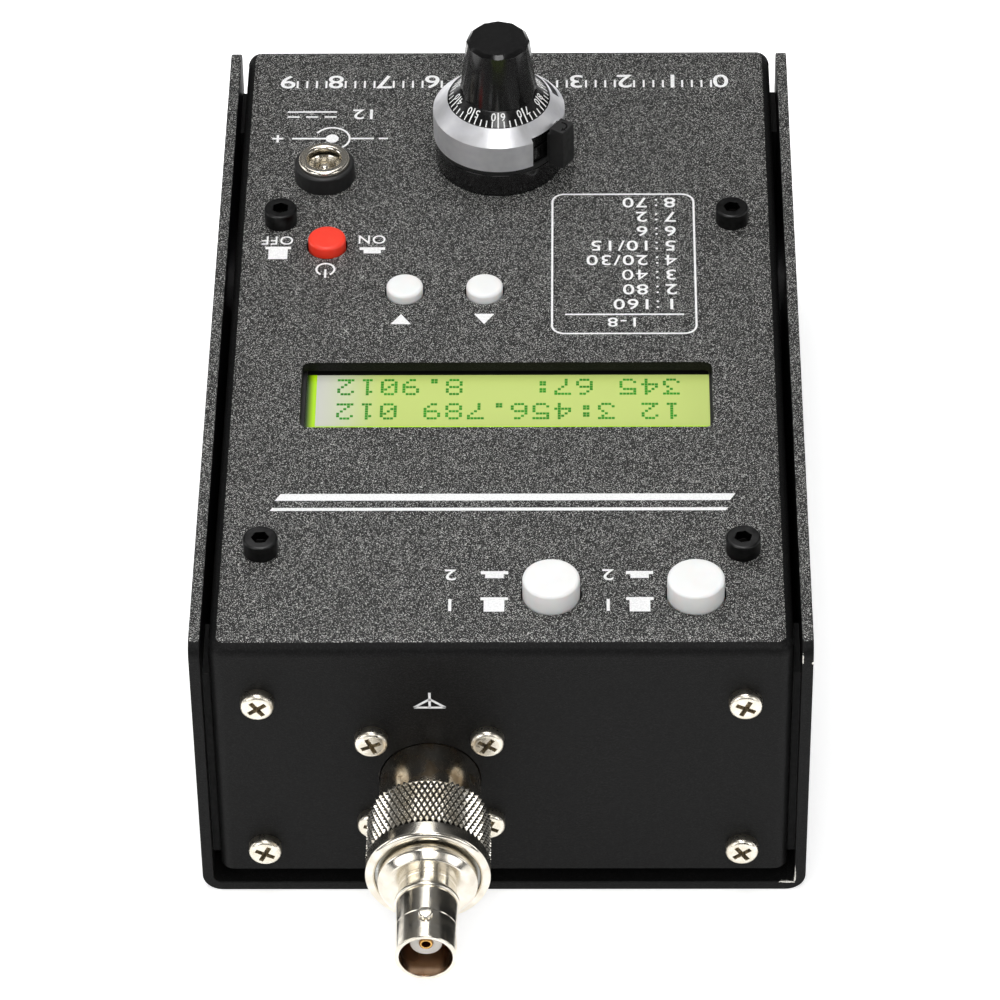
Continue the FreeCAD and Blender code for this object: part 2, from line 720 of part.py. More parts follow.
def make_chassis():
    """Control panel with both end walls and two short side flanges."""
    flange_bottom = panel_top - size.flange_drop
    return_y = half_long - outer_bend
    inner_x = chassis_x - size.sheet
    chassis = Piece("panel_chassis")
    chassis.pad("XY", wall_bottom, panel_top, rectangle(-chassis_x, -half_long, chassis_x, half_long))
    chassis.fillet(
        outer_bend,
        straight("x", z=panel_top),
        straight("y", z=panel_top),
        straight("z", x=both(chassis_x)),
    )
    chassis.pocket("XY", wall_bottom - PAST, panel_under, rectangle(-inner_x, -wall_in, inner_x, wall_in))
    chassis.fillet(
        size.bend,
        straight("x", z=panel_under),
        straight("y", z=panel_under),
        straight("z", x=both(inner_x)),
    )
    # open the long sides below the flanges
    chassis.pocket(
        "YZ", -half_wide, half_wide, rectangle(-return_y, wall_bottom - PAST, return_y, flange_bottom)
    )
    # relief slots where flange and end wall meet
    slot_in = chassis_x - outer_bend
    slots = [
        rectangle(return_y - size.relief, flange_bottom - PAST, return_y, panel_top - outer_bend / 2),
        rectangle(-return_y, flange_bottom - PAST, size.relief - return_y, panel_top - outer_bend / 2),
    ]
    chassis.pocket("YZ", slot_in, half_wide, *slots)
    chassis.pocket("YZ", -half_wide, -slot_in, *slots)
    cut_panel_holes(chassis)
    cut_end_holes(chassis)


def cut_panel_holes(chassis):
    """Window, dial, socket, button and post holes in the control panel."""
    low, high = panel_under - PAST, panel_top + PAST
    half_window = size.window_wide / 2
    half_tall = size.window_tall / 2
    window_y = from_front(size.window_y)
    left, right = size.window_x - half_window, size.window_x + half_window
    near, far = window_y - half_tall, window_y + half_tall
    chassis.pocket("XY", low, high, rectangle(left, near, right, far))
    chassis.fillet(size.window_corner, straight("z", x=(left, right), y=(near, far)))
    holes = [circle(x, y, clear_radius) for x, y in post_spots]
    holes.append(circle(size.dial_x, dial_y, size.bush_radius + size.bush_play))
    holes.append(circle(inlet_x, inlet_y, size.inlet_neck + size.hole_play))
    holes.append(circle(power_x, power_y, size.power_radius + size.button_play))
    for x in (size.down_x, size.up_x):
        holes.append(circle(x, step_y, size.step_radius + size.button_play))
    for x in (size.band_left_x, band_right_x):
        holes.append(circle(x, band_y, size.band_radius + size.button_play))
    chassis.pocket("XY", low, high, *holes)


def cut_end_holes(chassis):
    """Screw holes in both end walls, and the jack's holes in the front one."""
    corners = [
        circle(x, z, clear_radius) for x in both(corner_x) for z in (size.corner_low, corner_high)
    ]
    flange = [
        circle(size.jack_x + x, jack_z + z, clear_radius)
        for x in both(size.flange_span / 2)
        for z in both(size.flange_span / 2)
    ]
    jack = circle(size.jack_x, jack_z, size.jack_radius + size.wall_play)
    chassis.pocket("XZ", -half_long - PAST, PAST - wall_in, jack, *corners, *flange)
    chassis.pocket("XZ", wall_in - PAST, half_long + PAST, *corners)


def make_cover():
    """Floor and both side walls, folded from one sheet."""
    profile = [
        (-half_wide, 0),
        (half_wide, 0),
        (half_wide, size.height),
        (cover_in, size.height),
        (cover_in, size.sheet),
        (-cover_in, size.sheet),
        (-cover_in, size.height),
        (-half_wide, size.height),
    ]
    cover = Piece("bottom_cover")
    cover.pad("XZ", -half_long, half_long, outline(profile))
    cover.fillet(size.cover_bend + size.sheet, straight("y", z=0, x=both(half_wide)))
    cover.fillet(size.cover_bend, straight("y", z=size.sheet, x=both(cover_in)))
    cover.fillet(size.cover_corner, straight("x", z=size.height, y=both(half_long)))


def make_brackets():
    """Four tapped angles on the cover, one behind each end-wall screw pair."""
    wall_x = cover_in - corner_x
    rebate_x = chassis_x - outer_bend - size.shake - corner_x
    rebate = size.bend + size.shake
    thick = size.bracket_wall
    section = [
        (-size.bracket_reach, 0),
        (rebate_x, 0),
        (rebate_x, rebate),
        (wall_x, rebate),
        (wall_x, size.bracket_leg),
        (wall_x - thick, size.bracket_leg),
        (wall_x - thick, thick),
        (-size.bracket_reach, thick),
    ]
    reach = corner_half + size.bracket_margin
    bracket = Piece("corner_bracket", kept=False)
    bracket.pad("XY", -reach, reach, outline(section))
    threads = [circle(0, z, tapped_radius) for z in both(corner_half)]
    bracket.pocket("XZ", -PAST, thick + PAST, *threads)
    spots = [
        (corner_x, -wall_in, corner_middle, UPRIGHT),
        (-corner_x, -wall_in, corner_middle, HALF_TURN_Y),
        (-corner_x, wall_in, corner_middle, HALF_TURN_Z),
        (corner_x, wall_in, corner_middle, HALF_TURN_X),
    ]
    group("corner_brackets", *copies_of(bracket, spots))


# --- screws and posts --------------------------------------------------------


def pan_screw(label, length):
    """Cross-recessed screw along Z, its head standing on Z = 0."""
    head = size.pan_height
    screw = Piece(label, kept=False)
    screw.spin(
        [
            (0, -length),
            (size.screw_radius, -length),
            (size.screw_radius, 0),
            (size.pan_radius, 0),
            (size.pan_radius, head),
            (0, head),
        ]
    )
    screw.fillet(size.pan_round, ring(size.pan_radius, head))
    recess = cross(size.recess_span, size.recess_blade)
    screw.pocket("XY", head - size.recess_depth, head + PAST, recess)
    return screw


def make_end_screws():
    """Eight screws through the end walls into the corner brackets."""
    spots = []
    for x in both(corner_x):
        for z in (size.corner_low, corner_high):
            spots.append((x, -half_long, z, OUT_OF_FRONT))
            spots.append((x, half_long, z, OUT_OF_REAR))
    screw = pan_screw("end_screw", size.end_screw_length)
    group("end_screws", *copies_of(screw, spots))


def make_panel_screws():
    """Four socket screws through the panel into the posts."""
    screw = Piece("panel_screw", kept=False)
    screw.spin(
        [
            (0, -size.panel_screw_length),
            (size.screw_radius, -size.panel_screw_length),
            (size.screw_radius, 0),
            (size.cap_radius, 0),
            (size.cap_radius, size.cap_height),
            (0, size.cap_height),
        ]
    )
    screw.fillet(size.cap_edge, ring(size.cap_radius, size.cap_height))
    screw.pocket(
        "XY", size.cap_height - size.socket_depth, size.cap_height + PAST, hexagon(size.socket_flats)
    )
    spots = [(x, y, panel_top, UPRIGHT) for x, y in post_spots]
    group("panel_screws", *copies_of(screw, spots))


def make_posts():
    """Four tapped hexagon posts between the panel and the main board."""
    post = Piece("panel_post", kept=False)
    post.pad("XY", board_top, panel_under, hexagon(size.post_flats))
    post.pocket("XY", board_top - PAST, panel_under + PAST, circle(0, 0, tapped_radius))
    group("panel_posts", *copies_of(post, [(x, y, 0, UPRIGHT) for x, y in post_spots]))
    screw = pan_screw("board_screw", size.board_thick + size.board_screw_grip)
    spots = [(x, y, board_under, HALF_TURN_X) for x, y in post_spots]
    group("board_screws", *copies_of(screw, spots))


# --- circuit boards and display ----------------------------------------------


def make_main_board():
    """Main board, with a notch behind the antenna jack."""
    side = half_wide - size.board_side
    near = from_front(size.board_front)
    notch = size.flange_size / 2 + size.notch_play
    left, right = size.jack_x - notch, size.jack_x + notch
    notch_y = from_front(size.notch_depth)
    far = from_front(size.board_rear)
    board = Piece("main_board")
    edge = [
        (-side, near),
        (left, near),
        (left, notch_y),
        (right, notch_y),
        (right, near),
        (side, near),
        (side, far),
        (-side, far),
    ]
    board.pad("XY", board_under, board_top, outline(edge))
    holes = [circle(x, y, clear_radius) for x, y in post_spots]
    holes += [circle(x, y, size.small_screw_radius + size.hole_play) for x, y in lcd_holes]
    board.pocket("XY", board_under - PAST, board_top + PAST, *holes)
    drill_pin_holes(board, board_under, board_top)


def drill_pin_holes(board, low, high):
    """A row of holes for the display header."""
    hole = circle(pin_row_x, pin_row_y, size.pin_thick / math.sqrt(2) + size.pin_play)
    board.pocket("XY", low - PAST, high + PAST, hole)
    board.repeat("H_Axis", pin_row_long, HEADER_PINS)


def make_display_board():
    """Display board, its spacers and its eight screws."""
    board = Piece("lcd_board")
    board.pad(
        "XY",
        lcd_under,
        lcd_top,
        rectangle(
            size.lcd_x - lcd_half_x, lcd_y - lcd_half_y, size.lcd_x + lcd_half_x, lcd_y + lcd_half_y
        ),
    )
    hole_radius = size.small_screw_radius + size.hole_play
    board.pocket("XY", lcd_under - PAST, lcd_top + PAST, *[circle(x, y, hole_radius) for x, y in lcd_holes])
    drill_pin_holes(board, lcd_under, lcd_top)
    spacer = Piece("lcd_spacer", kept=False)
    spacer.pad("XY", board_top, lcd_under, circle(0, 0, size.spacer_radius))
    bore = circle(0, 0, size.small_screw_radius + size.thread_play)
    spacer.pocket("XY", board_top - PAST, lcd_under + PAST, bore)
    group("lcd_spacers", *copies_of(spacer, [(x, y, 0, UPRIGHT) for x, y in lcd_holes]))
    length = size.board_thick + size.small_screw_grip
    screw = Piece("lcd_screw", kept=False)
    screw.spin(
        [
            (0, -length),
            (size.small_screw_radius, -length),
            (size.small_screw_radius, 0),
            (size.small_head_radius, 0),
            (size.small_head_radius, size.small_head_height),
            (0, size.small_head_height),
        ]
    )
    spots = [(x, y, lcd_top, UPRIGHT) for x, y in lcd_holes]
    spots += [(x, y, board_under, HALF_TURN_X) for x, y in lcd_holes]
    group("lcd_screws", *copies_of(screw, spots))


def make_display():
    """Light block, glass and steel frame of the display."""
    x, y = size.lcd_x, lcd_y
    glass_top = panel_under - size.bezel_face
    glass_low = glass_top - size.glass_thick
    out_x = lcd_half_x - size.bezel_margin_x
    out_y = lcd_half_y - size.bezel_margin_y
    in_x = out_x - size.bezel_sheet
    in_y = out_y - size.bezel_sheet

    def slab(half_x, half_y):
        return rectangle(x - half_x, y - half_y, x + half_x, y + half_y)

    light = Piece("lcd_backlight")
    fitted = slab(in_x - size.glass_play, in_y - size.glass_play)
    light.pad("XY", lcd_top, glass_low, fitted)
    glass = Piece("lcd_glass")
    glass.pad("XY", glass_low, glass_top, fitted)
    frame = Piece("lcd_bezel")
    frame.pad("XY", lcd_top, panel_under, slab(out_x, out_y))
    frame.pocket("XY", lcd_top - PAST, glass_top, slab(in_x, in_y))
    opening = slab(out_x - size.bezel_rim_x, out_y - size.bezel_rim_y)
    frame.pocket("XY", glass_top - PAST, panel_under + PAST, opening)


def make_header():
    """Header strip and pins that join the display board to the main board."""
    half = size.pin_pitch / 2
    low, high = pin_row_x - half, pin_row_x + pin_row_long + half
    strip = Piece("lcd_header_strip")
    half_strip = size.strip_wide / 2
    strip.pad(
        "XY", board_top, lcd_under, rectangle(low, pin_row_y - half_strip, high, pin_row_y + half_strip)
    )
    socket = square(pin_row_x, pin_row_y, size.pin_thick + 2 * size.pin_play)
    strip.pocket("XY", board_top - PAST, lcd_under + PAST, socket)
    strip.repeat("H_Axis", pin_row_long, HEADER_PINS)
    pins = Piece("lcd_header_pins")
    pin = square(pin_row_x, pin_row_y, size.pin_thick)
    pins.pad("XY", board_under - size.pin_stick, lcd_top + size.pin_stick, pin)
    pins.repeat("H_Axis", pin_row_long, HEADER_PINS)


def make_chips():
    """Three integrated circuits on the main board."""
    chip = Piece("board_chip", kept=False)
    chip.pad("XY", board_top, board_top + size.chip_height, square(0, 0, size.chip_size))
    chip.chamfer(size.chip_edge, straight("x", z=board_top + size.chip_height))
    spots = [(size.chip_pitch * column, from_front(size.chip_row), 0, UPRIGHT) for column in (-1, 0, 1)]
    group("board_chips", *copies_of(chip, spots))


# --- antenna jack and adapter: Z runs outwards along the antenna axis --------

on_jack = {"at": (size.jack_x, -half_long, jack_z), "turn": OUT_OF_FRONT}
flange_back = -size.sheet - size.flange_thick
jack_floor = size.jack_nose - size.jack_well
contact_bore = size.contact_radius - size.contact_wall
shoulder_back = size.jack_nose + size.gasket_thick
shoulder_front = shoulder_back + size.shoulder_long
neck_front = shoulder_front + size.neck_long
collar_front = neck_front + size.collar_long
shell_front = collar_front + size.shell_long
shell_floor = shell_front - size.shell_deep
nut_bore = size.jack_radius + size.turn_play
nut_radius = nut_bore + size.nut_wall
nut_front = shoulder_back + size.nut_over
shoulder_radius = nut_bore - size.shoulder_play
clip_radius = nut_bore + size.clip_rise
clip_seat = shoulder_radius - size.clip_bite
groove_front = nut_front - size.nut_lip - size.shake
groove_back = groove_front - size.clip_thick - 2 * size.fixed_play


def make_jack():
    """Flanged coaxial jack behind the front wall, with insulator and contact."""
    flange_half = size.flange_size / 2
    jack = Piece("antenna_jack_body", **on_jack)
    jack.spin(
        [
            (size.jack_bore, -size.jack_back),
            (size.jack_boss, -size.jack_back),
            (size.jack_boss, flange_back),
            (size.jack_radius, flange_back),
            (size.jack_radius, size.jack_nose),
            (size.jack_bore, size.jack_nose),
        ]
    )
    jack.chamfer(size.jack_edge, ring(size.jack_radius, size.jack_nose))
    jack.pad(
        "XY",
        flange_back,
        -size.sheet,
        rectangle(-flange_half, -flange_half, flange_half, flange_half),
        circle(0, 0, size.jack_boss),
    )
    spread = size.flange_span / 2
    holes = [circle(x, y, clear_radius) for x in both(spread) for y in both(spread)]
    jack.pocket("XY", flange_back - PAST, PAST - size.sheet, *holes)
    fill = size.jack_bore - size.fixed_play
    sleeve = size.contact_radius + size.fixed_play
    insulator = Piece("antenna_jack_insulator", **on_jack)
    insulator.spin(
        [
            (sleeve, -size.jack_back),
            (fill, -size.jack_back),
            (fill, jack_floor),
            (sleeve, jack_floor),
        ]
    )
    contact = Piece("antenna_jack_contact", **on_jack)
    contact_front = size.jack_nose - size.contact_recess
    contact.spin(
        [
            (0, -size.contact_back),
            (size.contact_radius, -size.contact_back),
            (size.contact_radius, contact_front),
            (contact_bore, contact_front),
            (contact_bore, jack_floor),
            (0, jack_floor),
        ]
    )


def make_flange_screws():
    """Screws and nuts that clamp the jack's flange to the front wall."""
    spread = size.flange_span / 2
    places = [(size.jack_x + x, jack_z + z) for x in both(spread) for z in both(spread)]
    screw = pan_screw("flange_screw", size.flange_screw_length)
    spots = [(x, -half_long, z, OUT_OF_FRONT) for x, z in places]
    group("flange_screws", *copies_of(screw, spots))
    nut = Piece("flange_nut", kept=False)
    nut.pad("XY", 0, size.nut_height, hexagon(size.nut_flats))
    nut.pocket("XY", -PAST, size.nut_height + PAST, circle(0, 0, tapped_radius))
    behind = size.flange_thick - wall_in
    spots = [(x, behind, z, OUT_OF_REAR) for x, z in places]
    group("flange_nuts", *copies_of(nut, spots))


def make_adapter():
    """Adapter body with sleeve, shoulder and bayonet shell."""
    sleeve_radius = size.jack_bore - size.sleeve_play
    sleeve_bore = sleeve_radius - size.sleeve_wall
    sleeve_back = shoulder_back - size.sleeve_long
    shell_bore = size.shell_radius - size.shell_wall
    tip_hole = size.tip_radius + size.fixed_play
    lug_station = shell_front - size.lug_back
    front_stretch = lug_station + size.lug_radius + size.fixed_play
    relief_radius = size.shell_radius - size.shell_relief
    body = Piece("adapter_body", **on_jack)
    body.spin(
        [
            (sleeve_bore, sleeve_back),
            (sleeve_radius, sleeve_back),
            (sleeve_radius, shoulder_back),
            (shoulder_radius, shoulder_back),
            (shoulder_radius, groove_back),
            (clip_seat, groove_back),
            (clip_seat, groove_front),
            (shoulder_radius, groove_front),
            (shoulder_radius, shoulder_front),
            (size.neck_radius, shoulder_front),
            (size.neck_radius, neck_front),
            (size.collar_radius, neck_front),
            (size.collar_radius, collar_front),
            (relief_radius, collar_front),
            (relief_radius, front_stretch),
            (size.shell_radius, front_stretch),
            (size.shell_radius, shell_front),
            (shell_bore, shell_front),
            (shell_bore, shell_floor),
            (tip_hole, shell_floor),
            (tip_hole, shoulder_back),
            (sleeve_bore, shoulder_back),
        ]
    )
    body.chamfer(size.shoulder_edge, ring(shoulder_radius, shoulder_front))
    body.fillet(
        size.collar_round,
        ring(size.collar_radius, neck_front),
        ring(size.collar_radius, collar_front),
    )
    lug_root = size.shell_radius - size.shell_wall / 2
    lug_tip = size.shell_radius + size.lug_rise
    lug = circle(0, lug_station, size.lug_radius)
    body.pad("XZ", lug_root, lug_tip, lug)
    body.pad("XZ", -lug_tip, -lug_root, lug)


def make_adapter_core():
    """Gasket, insulator and contact of the adapter."""
    gasket = Piece("adapter_gasket", **on_jack)
    gasket_radius = size.jack_radius - size.gasket_inset
    gasket.pad(
        "XY",
        size.jack_nose,
        shoulder_back,
        circle(0, 0, gasket_radius),
        circle(0, 0, size.jack_bore),
    )
    insulator = Piece("adapter_insulator", **on_jack)
    insulator.pad(
        "XY",
        shoulder_back,
        shell_front - size.tip_recess,
        circle(0, 0, size.tip_radius),
        circle(0, 0, size.pin_radius + size.fixed_play),
    )
    tail_radius = contact_bore - size.tail_play
    tail_back = shoulder_back - size.tail_long
    pin_front = shell_front - size.pin_recess
    pin_bore = size.pin_radius - size.pin_wall
    contact = Piece("adapter_contact", **on_jack)
    contact.spin(
        [
            (0, tail_back),
            (tail_radius, tail_back),
            (tail_radius, shoulder_back),
            (size.pin_radius, shoulder_back),
            (size.pin_radius, pin_front),
            (pin_bore, pin_front),
            (pin_bore, shell_floor),
            (0, shell_floor),
        ]
    )


def make_coupling():
    """Knurled coupling nut that turns on the adapter, and its clip."""
    nut_back = size.jack_nose - size.nut_grip
    groove = clip_radius + size.shake
    lip_back = nut_front - size.nut_lip
    lip_bore = nut_bore + size.lip_play
    knurl_front = nut_front - size.nut_rim
    waist = nut_radius - size.nut_line
    nut = Piece("coupling_nut", **on_jack)
    nut.spin(
        [
            (nut_bore, nut_back),
            (nut_radius, nut_back),
            (nut_radius, knurl_front - size.nut_line),
            (waist, knurl_front - size.nut_line),
            (waist, knurl_front),
            (nut_radius, knurl_front),
            (nut_radius, nut_front),
            (lip_bore, nut_front),
            (lip_bore, lip_back),
            (groove, lip_back),
            (groove, groove_back - size.shake),
            (nut_bore, groove_back - size.shake),
        ]
    )
    nut.chamfer(size.nut_edge, ring(nut_radius, nut_front), ring(nut_radius, nut_back))
    clip = Piece("coupling_clip", **on_jack)
    clip_back = groove_back + size.fixed_play
    clip.pad(
        "XY",
        clip_back,
        clip_back + size.clip_thick,
        circle(0, 0, clip_radius),
        circle(0, 0, clip_seat + size.fixed_play),
    )


# --- ten-turn potentiometer and counting dial ---------------------------------

on_dial = {"at": (size.dial_x, dial_y, 0)}
base_floor_top = above(size.base_floor)
washer_top = base_floor_top + size.washer_thick
bush_hole = size.bush_radius + size.bush_play
spigot_top = above(size.spigot_top)
base_step = above(size.base_step)
brake_low = base_step + size.brake_play
brake_high = brake_low + size.brake_thick
ring_bottom = brake_high + size.brake_play
ring_in = size.spigot_radius + size.ring_seat
ring_eye = size.scale_radius + size.ring_eye_play
ring_slope = (size.ring_top - size.ring_shoulder) / (size.ring_radius - ring_eye)
cutout_top = above(size.ring_shoulder + size.cutout_rise)
skirt_bottom = spigot_top + size.scale_play
skirt_top = above(size.scale_low + size.scale_rise)
hub_radius = size.knob_radius - size.hub_step


def under_face(radius):
    """Height of the underside of the dial ring's sloping face at a radius."""
    return above(size.ring_top - size.ring_face - ring_slope * (radius - ring_eye))


def make_potentiometer():
    """Potentiometer body, threaded bush, washer, nut, terminals and shaft."""
    well = size.shaft_radius + size.shaft_play
    cavity = pot_bottom + size.pot_cap
    bush_root = panel_under - size.bush_root
    seat = size.bush_radius + size.fixed_play
    body = Piece("pot_body", **on_dial)
    body.spin(
        [
            (0, pot_bottom),
            (size.pot_radius, pot_bottom),
            (size.pot_radius, panel_under),
            (seat, panel_under),
            (seat, bush_root),
            (well, bush_root),
            (well, cavity),
            (0, cavity),
        ]
    )
    bush = Piece("pot_bushing", **on_dial)
    bush.pad("XY", bush_root, above(size.bush_top), circle(0, 0, size.bush_radius), circle(0, 0, well))
    washer = Piece("pot_washer", **on_dial)
    washer.pad(
        "XY", base_floor_top, washer_top, circle(0, 0, size.washer_radius), circle(0, 0, bush_hole)
    )
    nut = Piece("pot_nut", **on_dial)
    nut.pad("XY", washer_top, washer_top + size.bush_nut_height, hexagon(size.bush_nut_flats))
    thread = circle(0, 0, size.bush_radius + size.thread_play)
    nut.pocket("XY", washer_top - PAST, washer_top + size.bush_nut_height + PAST, thread)
    tabs = Piece("pot_terminals", **on_dial)
    half_tab, half_thick = size.tab_wide / 2, size.tab_thick / 2
    row = [
        rectangle(
            size.tab_pitch * place - half_tab, -half_thick, size.tab_pitch * place + half_tab, half_thick
        )
        for place in (-1, 0, 1)
    ]
    tabs.pad("XY", pot_bottom - size.tab_long, pot_bottom, *row)
    shaft = Piece("pot_shaft", **on_dial)
    shaft.pad("XY", cavity + size.shake, above(size.shaft_top), circle(0, 0, size.shaft_radius))
    shaft.chamfer(size.shake, ring(size.shaft_radius, above(size.shaft_top)))


def make_dial_base():
    """Base clamped by the bush nut, with the spigot for the rings."""
    pocket = size.bush_nut_flats / math.sqrt(3) + size.shake
    base = Piece("dial_base", **on_dial)
    base.spin(
        [
            (bush_hole, panel_top),
            (size.base_radius, panel_top),
            (size.base_radius, base_step),
            (size.spigot_radius, base_step),
            (size.spigot_radius, spigot_top),
            (pocket, spigot_top),
            (pocket, base_floor_top),
            (bush_hole, base_floor_top),
        ]
    )


def sector(first, last, inner, outer, steps):
    """Outline of a slot along an arc about the origin."""
    turns = [first + (last - first) * (step / steps) for step in range(steps + 1)]
    far = [(outer * cosine(turn), outer * sine(turn)) for turn in turns]
    near = [(inner * cosine(turn), inner * sine(turn)) for turn in reversed(turns)]
    return outline(far + near)


def make_dial_ring():
    """Aluminium ring with a sloping face, a window slot and a brake cut-out."""
    shoulder = above(size.ring_shoulder)
    dial_ring = Piece("dial_ring", **on_dial)
    dial_ring.spin(
        [
            (ring_in, ring_bottom),
            (size.ring_radius, ring_bottom),
            (size.ring_radius, shoulder),
            (ring_eye, above(size.ring_top)),
            (ring_eye, under_face(ring_eye)),
            (ring_in, under_face(ring_in)),
        ]
    )
    slot_from = size.slot_middle - size.slot_half
    slot_to = size.slot_middle + size.slot_half
    slot = sector(slot_from, slot_to, size.slot_in, size.slot_out, SLOT_STEPS)
    dial_ring.pocket("XY", shoulder - PAST, above(size.ring_top) + PAST, slot)
    inside, outside = size.spigot_radius - PAST, size.ring_radius + PAST
    cutout = sector(size.cutout_from, size.cutout_to, inside, outside, SLOT_STEPS)
    dial_ring.pocket("XY", ring_bottom - PAST, cutout_top, cutout)


def make_counter_ring():
    """Numbered ring under the sloping face, turned once in ten turns."""
    low = spigot_top + size.ledge_play
    inner = ring_eye + size.counter_inset
    outer = ring_in - size.shake
    counter = Piece("counter_ring", **on_dial)
    counter.spin(
        [
            (inner, low),
            (outer, low),
            (outer, under_face(outer) - size.counter_play),
            (inner, under_face(inner) - size.counter_play),
        ]
    )


def make_brake():
    """Brake ring on the base's step, with the lever that sticks out."""
    seat = size.spigot_radius + size.brake_play
    brake = Piece("dial_brake", **on_dial)
    brake.pad(
        "XY", brake_low, brake_high, circle(0, 0, size.base_radius), circle(0, 0, seat)
    )
    away = size.ring_radius + size.shake
    root = (seat + size.base_radius) / 2
    brake.pad("XY", brake_low, above(size.ring_shoulder), lever_block(root, away, size.lever_neck))
    block = lever_block(away, size.lever_reach, size.lever_wide)
    brake.pad("XY", brake_low, above(size.lever_top), block)


def lever_block(inner, outer, wide):
    """Outline of a radial block at the lever's angle."""
    along_x, along_y = cosine(size.lever_middle), sine(size.lever_middle)
    corners = [(inner, -wide / 2), (outer, -wide / 2), (outer, wide / 2), (inner, wide / 2)]
    return outline(
        [(out * along_x - side * along_y, out * along_y + side * along_x) for out, side in corners]
    )


def make_knob():
    """Graduated skirt, faceted knob with a bevelled crown, and its set screw."""
    hub_hole = hub_radius + size.fixed_play
    skirt = Piece("dial_scale", **on_dial)
    skirt.spin(
        [
            (hub_hole, skirt_bottom),
            (size.scale_radius, skirt_bottom),
            (size.scale_radius, above(size.scale_low)),
            (size.knob_radius, skirt_top),
            (hub_hole, skirt_top),
        ]
    )
    rim = skirt_top + size.knob_height
    crown = rim + size.knob_crown
    foot_shape = polygon(KNOB_FACETS, size.knob_radius)
    crown_shape = polygon(KNOB_FACETS, size.knob_top_radius - size.knob_bevel)
    knob = Piece("dial_knob", **on_dial)
    knob.loft(skirt_top, foot_shape, rim, polygon(KNOB_FACETS, size.knob_top_radius))
    knob.loft(rim, polygon(KNOB_FACETS, size.knob_top_radius), crown, crown_shape)
    knob.pad("XY", skirt_bottom, skirt_top, circle(0, 0, hub_radius))
    bore = circle(0, 0, size.shaft_radius + size.fixed_play)
    knob.pocket("XY", skirt_bottom - PAST, above(size.shaft_top) + size.shake, bore)
    height = above(size.set_screw_height)
    knob.pocket("XZ", 0, size.knob_radius + PAST, circle(0, height, tapped_radius))
    screw = Piece("knob_set_screw", at=(size.dial_x, dial_y, height), turn=OUT_OF_REAR)
    screw_end = hub_radius - size.shake
    screw.pad("XY", size.shaft_radius, screw_end, circle(0, 0, size.screw_radius))
    socket_floor = (size.shaft_radius + screw_end) / 2
    screw.pocket("XY", socket_floor, screw_end + PAST, hexagon(size.set_screw_flats))


# --- power socket --------------------------------------------------------------


def make_inlet():
    """Power socket: body, collar nut, nickel sleeve and centre pin."""
    on_inlet = {"at": (inlet_x, inlet_y, 0)}
    neck_top = above(size.inlet_height)
    floor = inlet_bottom + size.inlet_floor
    sleeve_out = size.inlet_bore + size.inlet_sleeve_wall
    pin_hole = size.inlet_pin + size.fixed_play
    body = Piece("power_socket_body", **on_inlet)
    body.spin(
        [
            (pin_hole, inlet_bottom),
            (size.inlet_radius, inlet_bottom),
            (size.inlet_radius, panel_under),
            (size.inlet_neck, panel_under),
            (size.inlet_neck, neck_top),
            (sleeve_out + size.fixed_play, neck_top),
            (sleeve_out + size.fixed_play, floor),
            (pin_hole, floor),
        ]
    )
    collar = Piece("power_socket_collar", **on_inlet)
    inside = circle(0, 0, size.inlet_neck + size.thread_play)
    collar.pad("XY", panel_top, neck_top, circle(0, 0, size.inlet_collar), inside)
    collar.fillet(size.inlet_edge, ring(size.inlet_collar, neck_top))
    sleeve = Piece("power_socket_sleeve", **on_inlet)
    lip_top = neck_top + size.inlet_lip_height
    sleeve.spin(
        [
            (size.inlet_bore, floor),
            (sleeve_out, floor),
            (sleeve_out, neck_top),
            (size.inlet_lip, neck_top),
            (size.inlet_lip, lip_top),
            (size.inlet_bore, lip_top),
        ]
    )
    sleeve.fillet(size.inlet_lip_round, ring(size.inlet_lip, lip_top))
    sleeve.fillet(size.inlet_mouth_round, ring(size.inlet_bore, lip_top))
    pin = Piece("power_socket_pin", **on_inlet)
    pin_top = above(size.inlet_pin_top)
    pin.pad("XY", inlet_bottom - size.inlet_tail, pin_top, circle(0, 0, size.inlet_pin))
    pin.chamfer(size.inlet_pin_edge, ring(size.inlet_pin, pin_top))


# --- push buttons ----------------------------------------------------------------


def switch_case(label, case, case_height, opening, depth, at=None):
    """Switch housing standing on the main board, with a well for its plunger."""
    top = board_top + case_height
    switch = Piece(label, at=at or (0, 0, 0), kept=at is not None)
    switch.pad("XY", board_top, top, square(0, 0, case))
    switch.pocket("XY", top - depth, top + PAST, opening)
    return switch


def make_latching_button(name, x, y, radius, rise, case_height, stem, travel):
    """Plunger and cap of one latching button."""
    case_top = board_top + case_height
    cap_low = case_top + travel + size.cap_over
    socket_top = cap_low + size.cap_grip
    top = above(rise)
    plunger = Piece(f"{name}_plunger", at=(x, y, 0))
    plunger.pad("XY", case_top - size.stem_hold, socket_top, square(0, 0, stem))
    cap = Piece(f"{name}_cap", at=(x, y, 0))
    cap.pad("XY", cap_low, top, circle(0, 0, radius))
    cap.fillet(size.cap_round, ring(radius, top))
    cap.pocket("XY", cap_low - PAST, socket_top, square(0, 0, stem + size.fixed_play * 2))


def make_power_button():
    """Power switch with its plunger and red cap."""
    switch_case(
        "power_switch",
        size.power_case,
        size.power_case_height,
        square(0, 0, size.power_stem + 2 * size.stem_play),
        size.stem_hold + size.power_travel + size.shake,
        at=(power_x, power_y, 0),
    )
    make_latching_button(
        "power",
        power_x,
        power_y,
        size.power_radius,
        size.power_rise,
        size.power_case_height,
        size.power_stem,
        size.power_travel,
    )


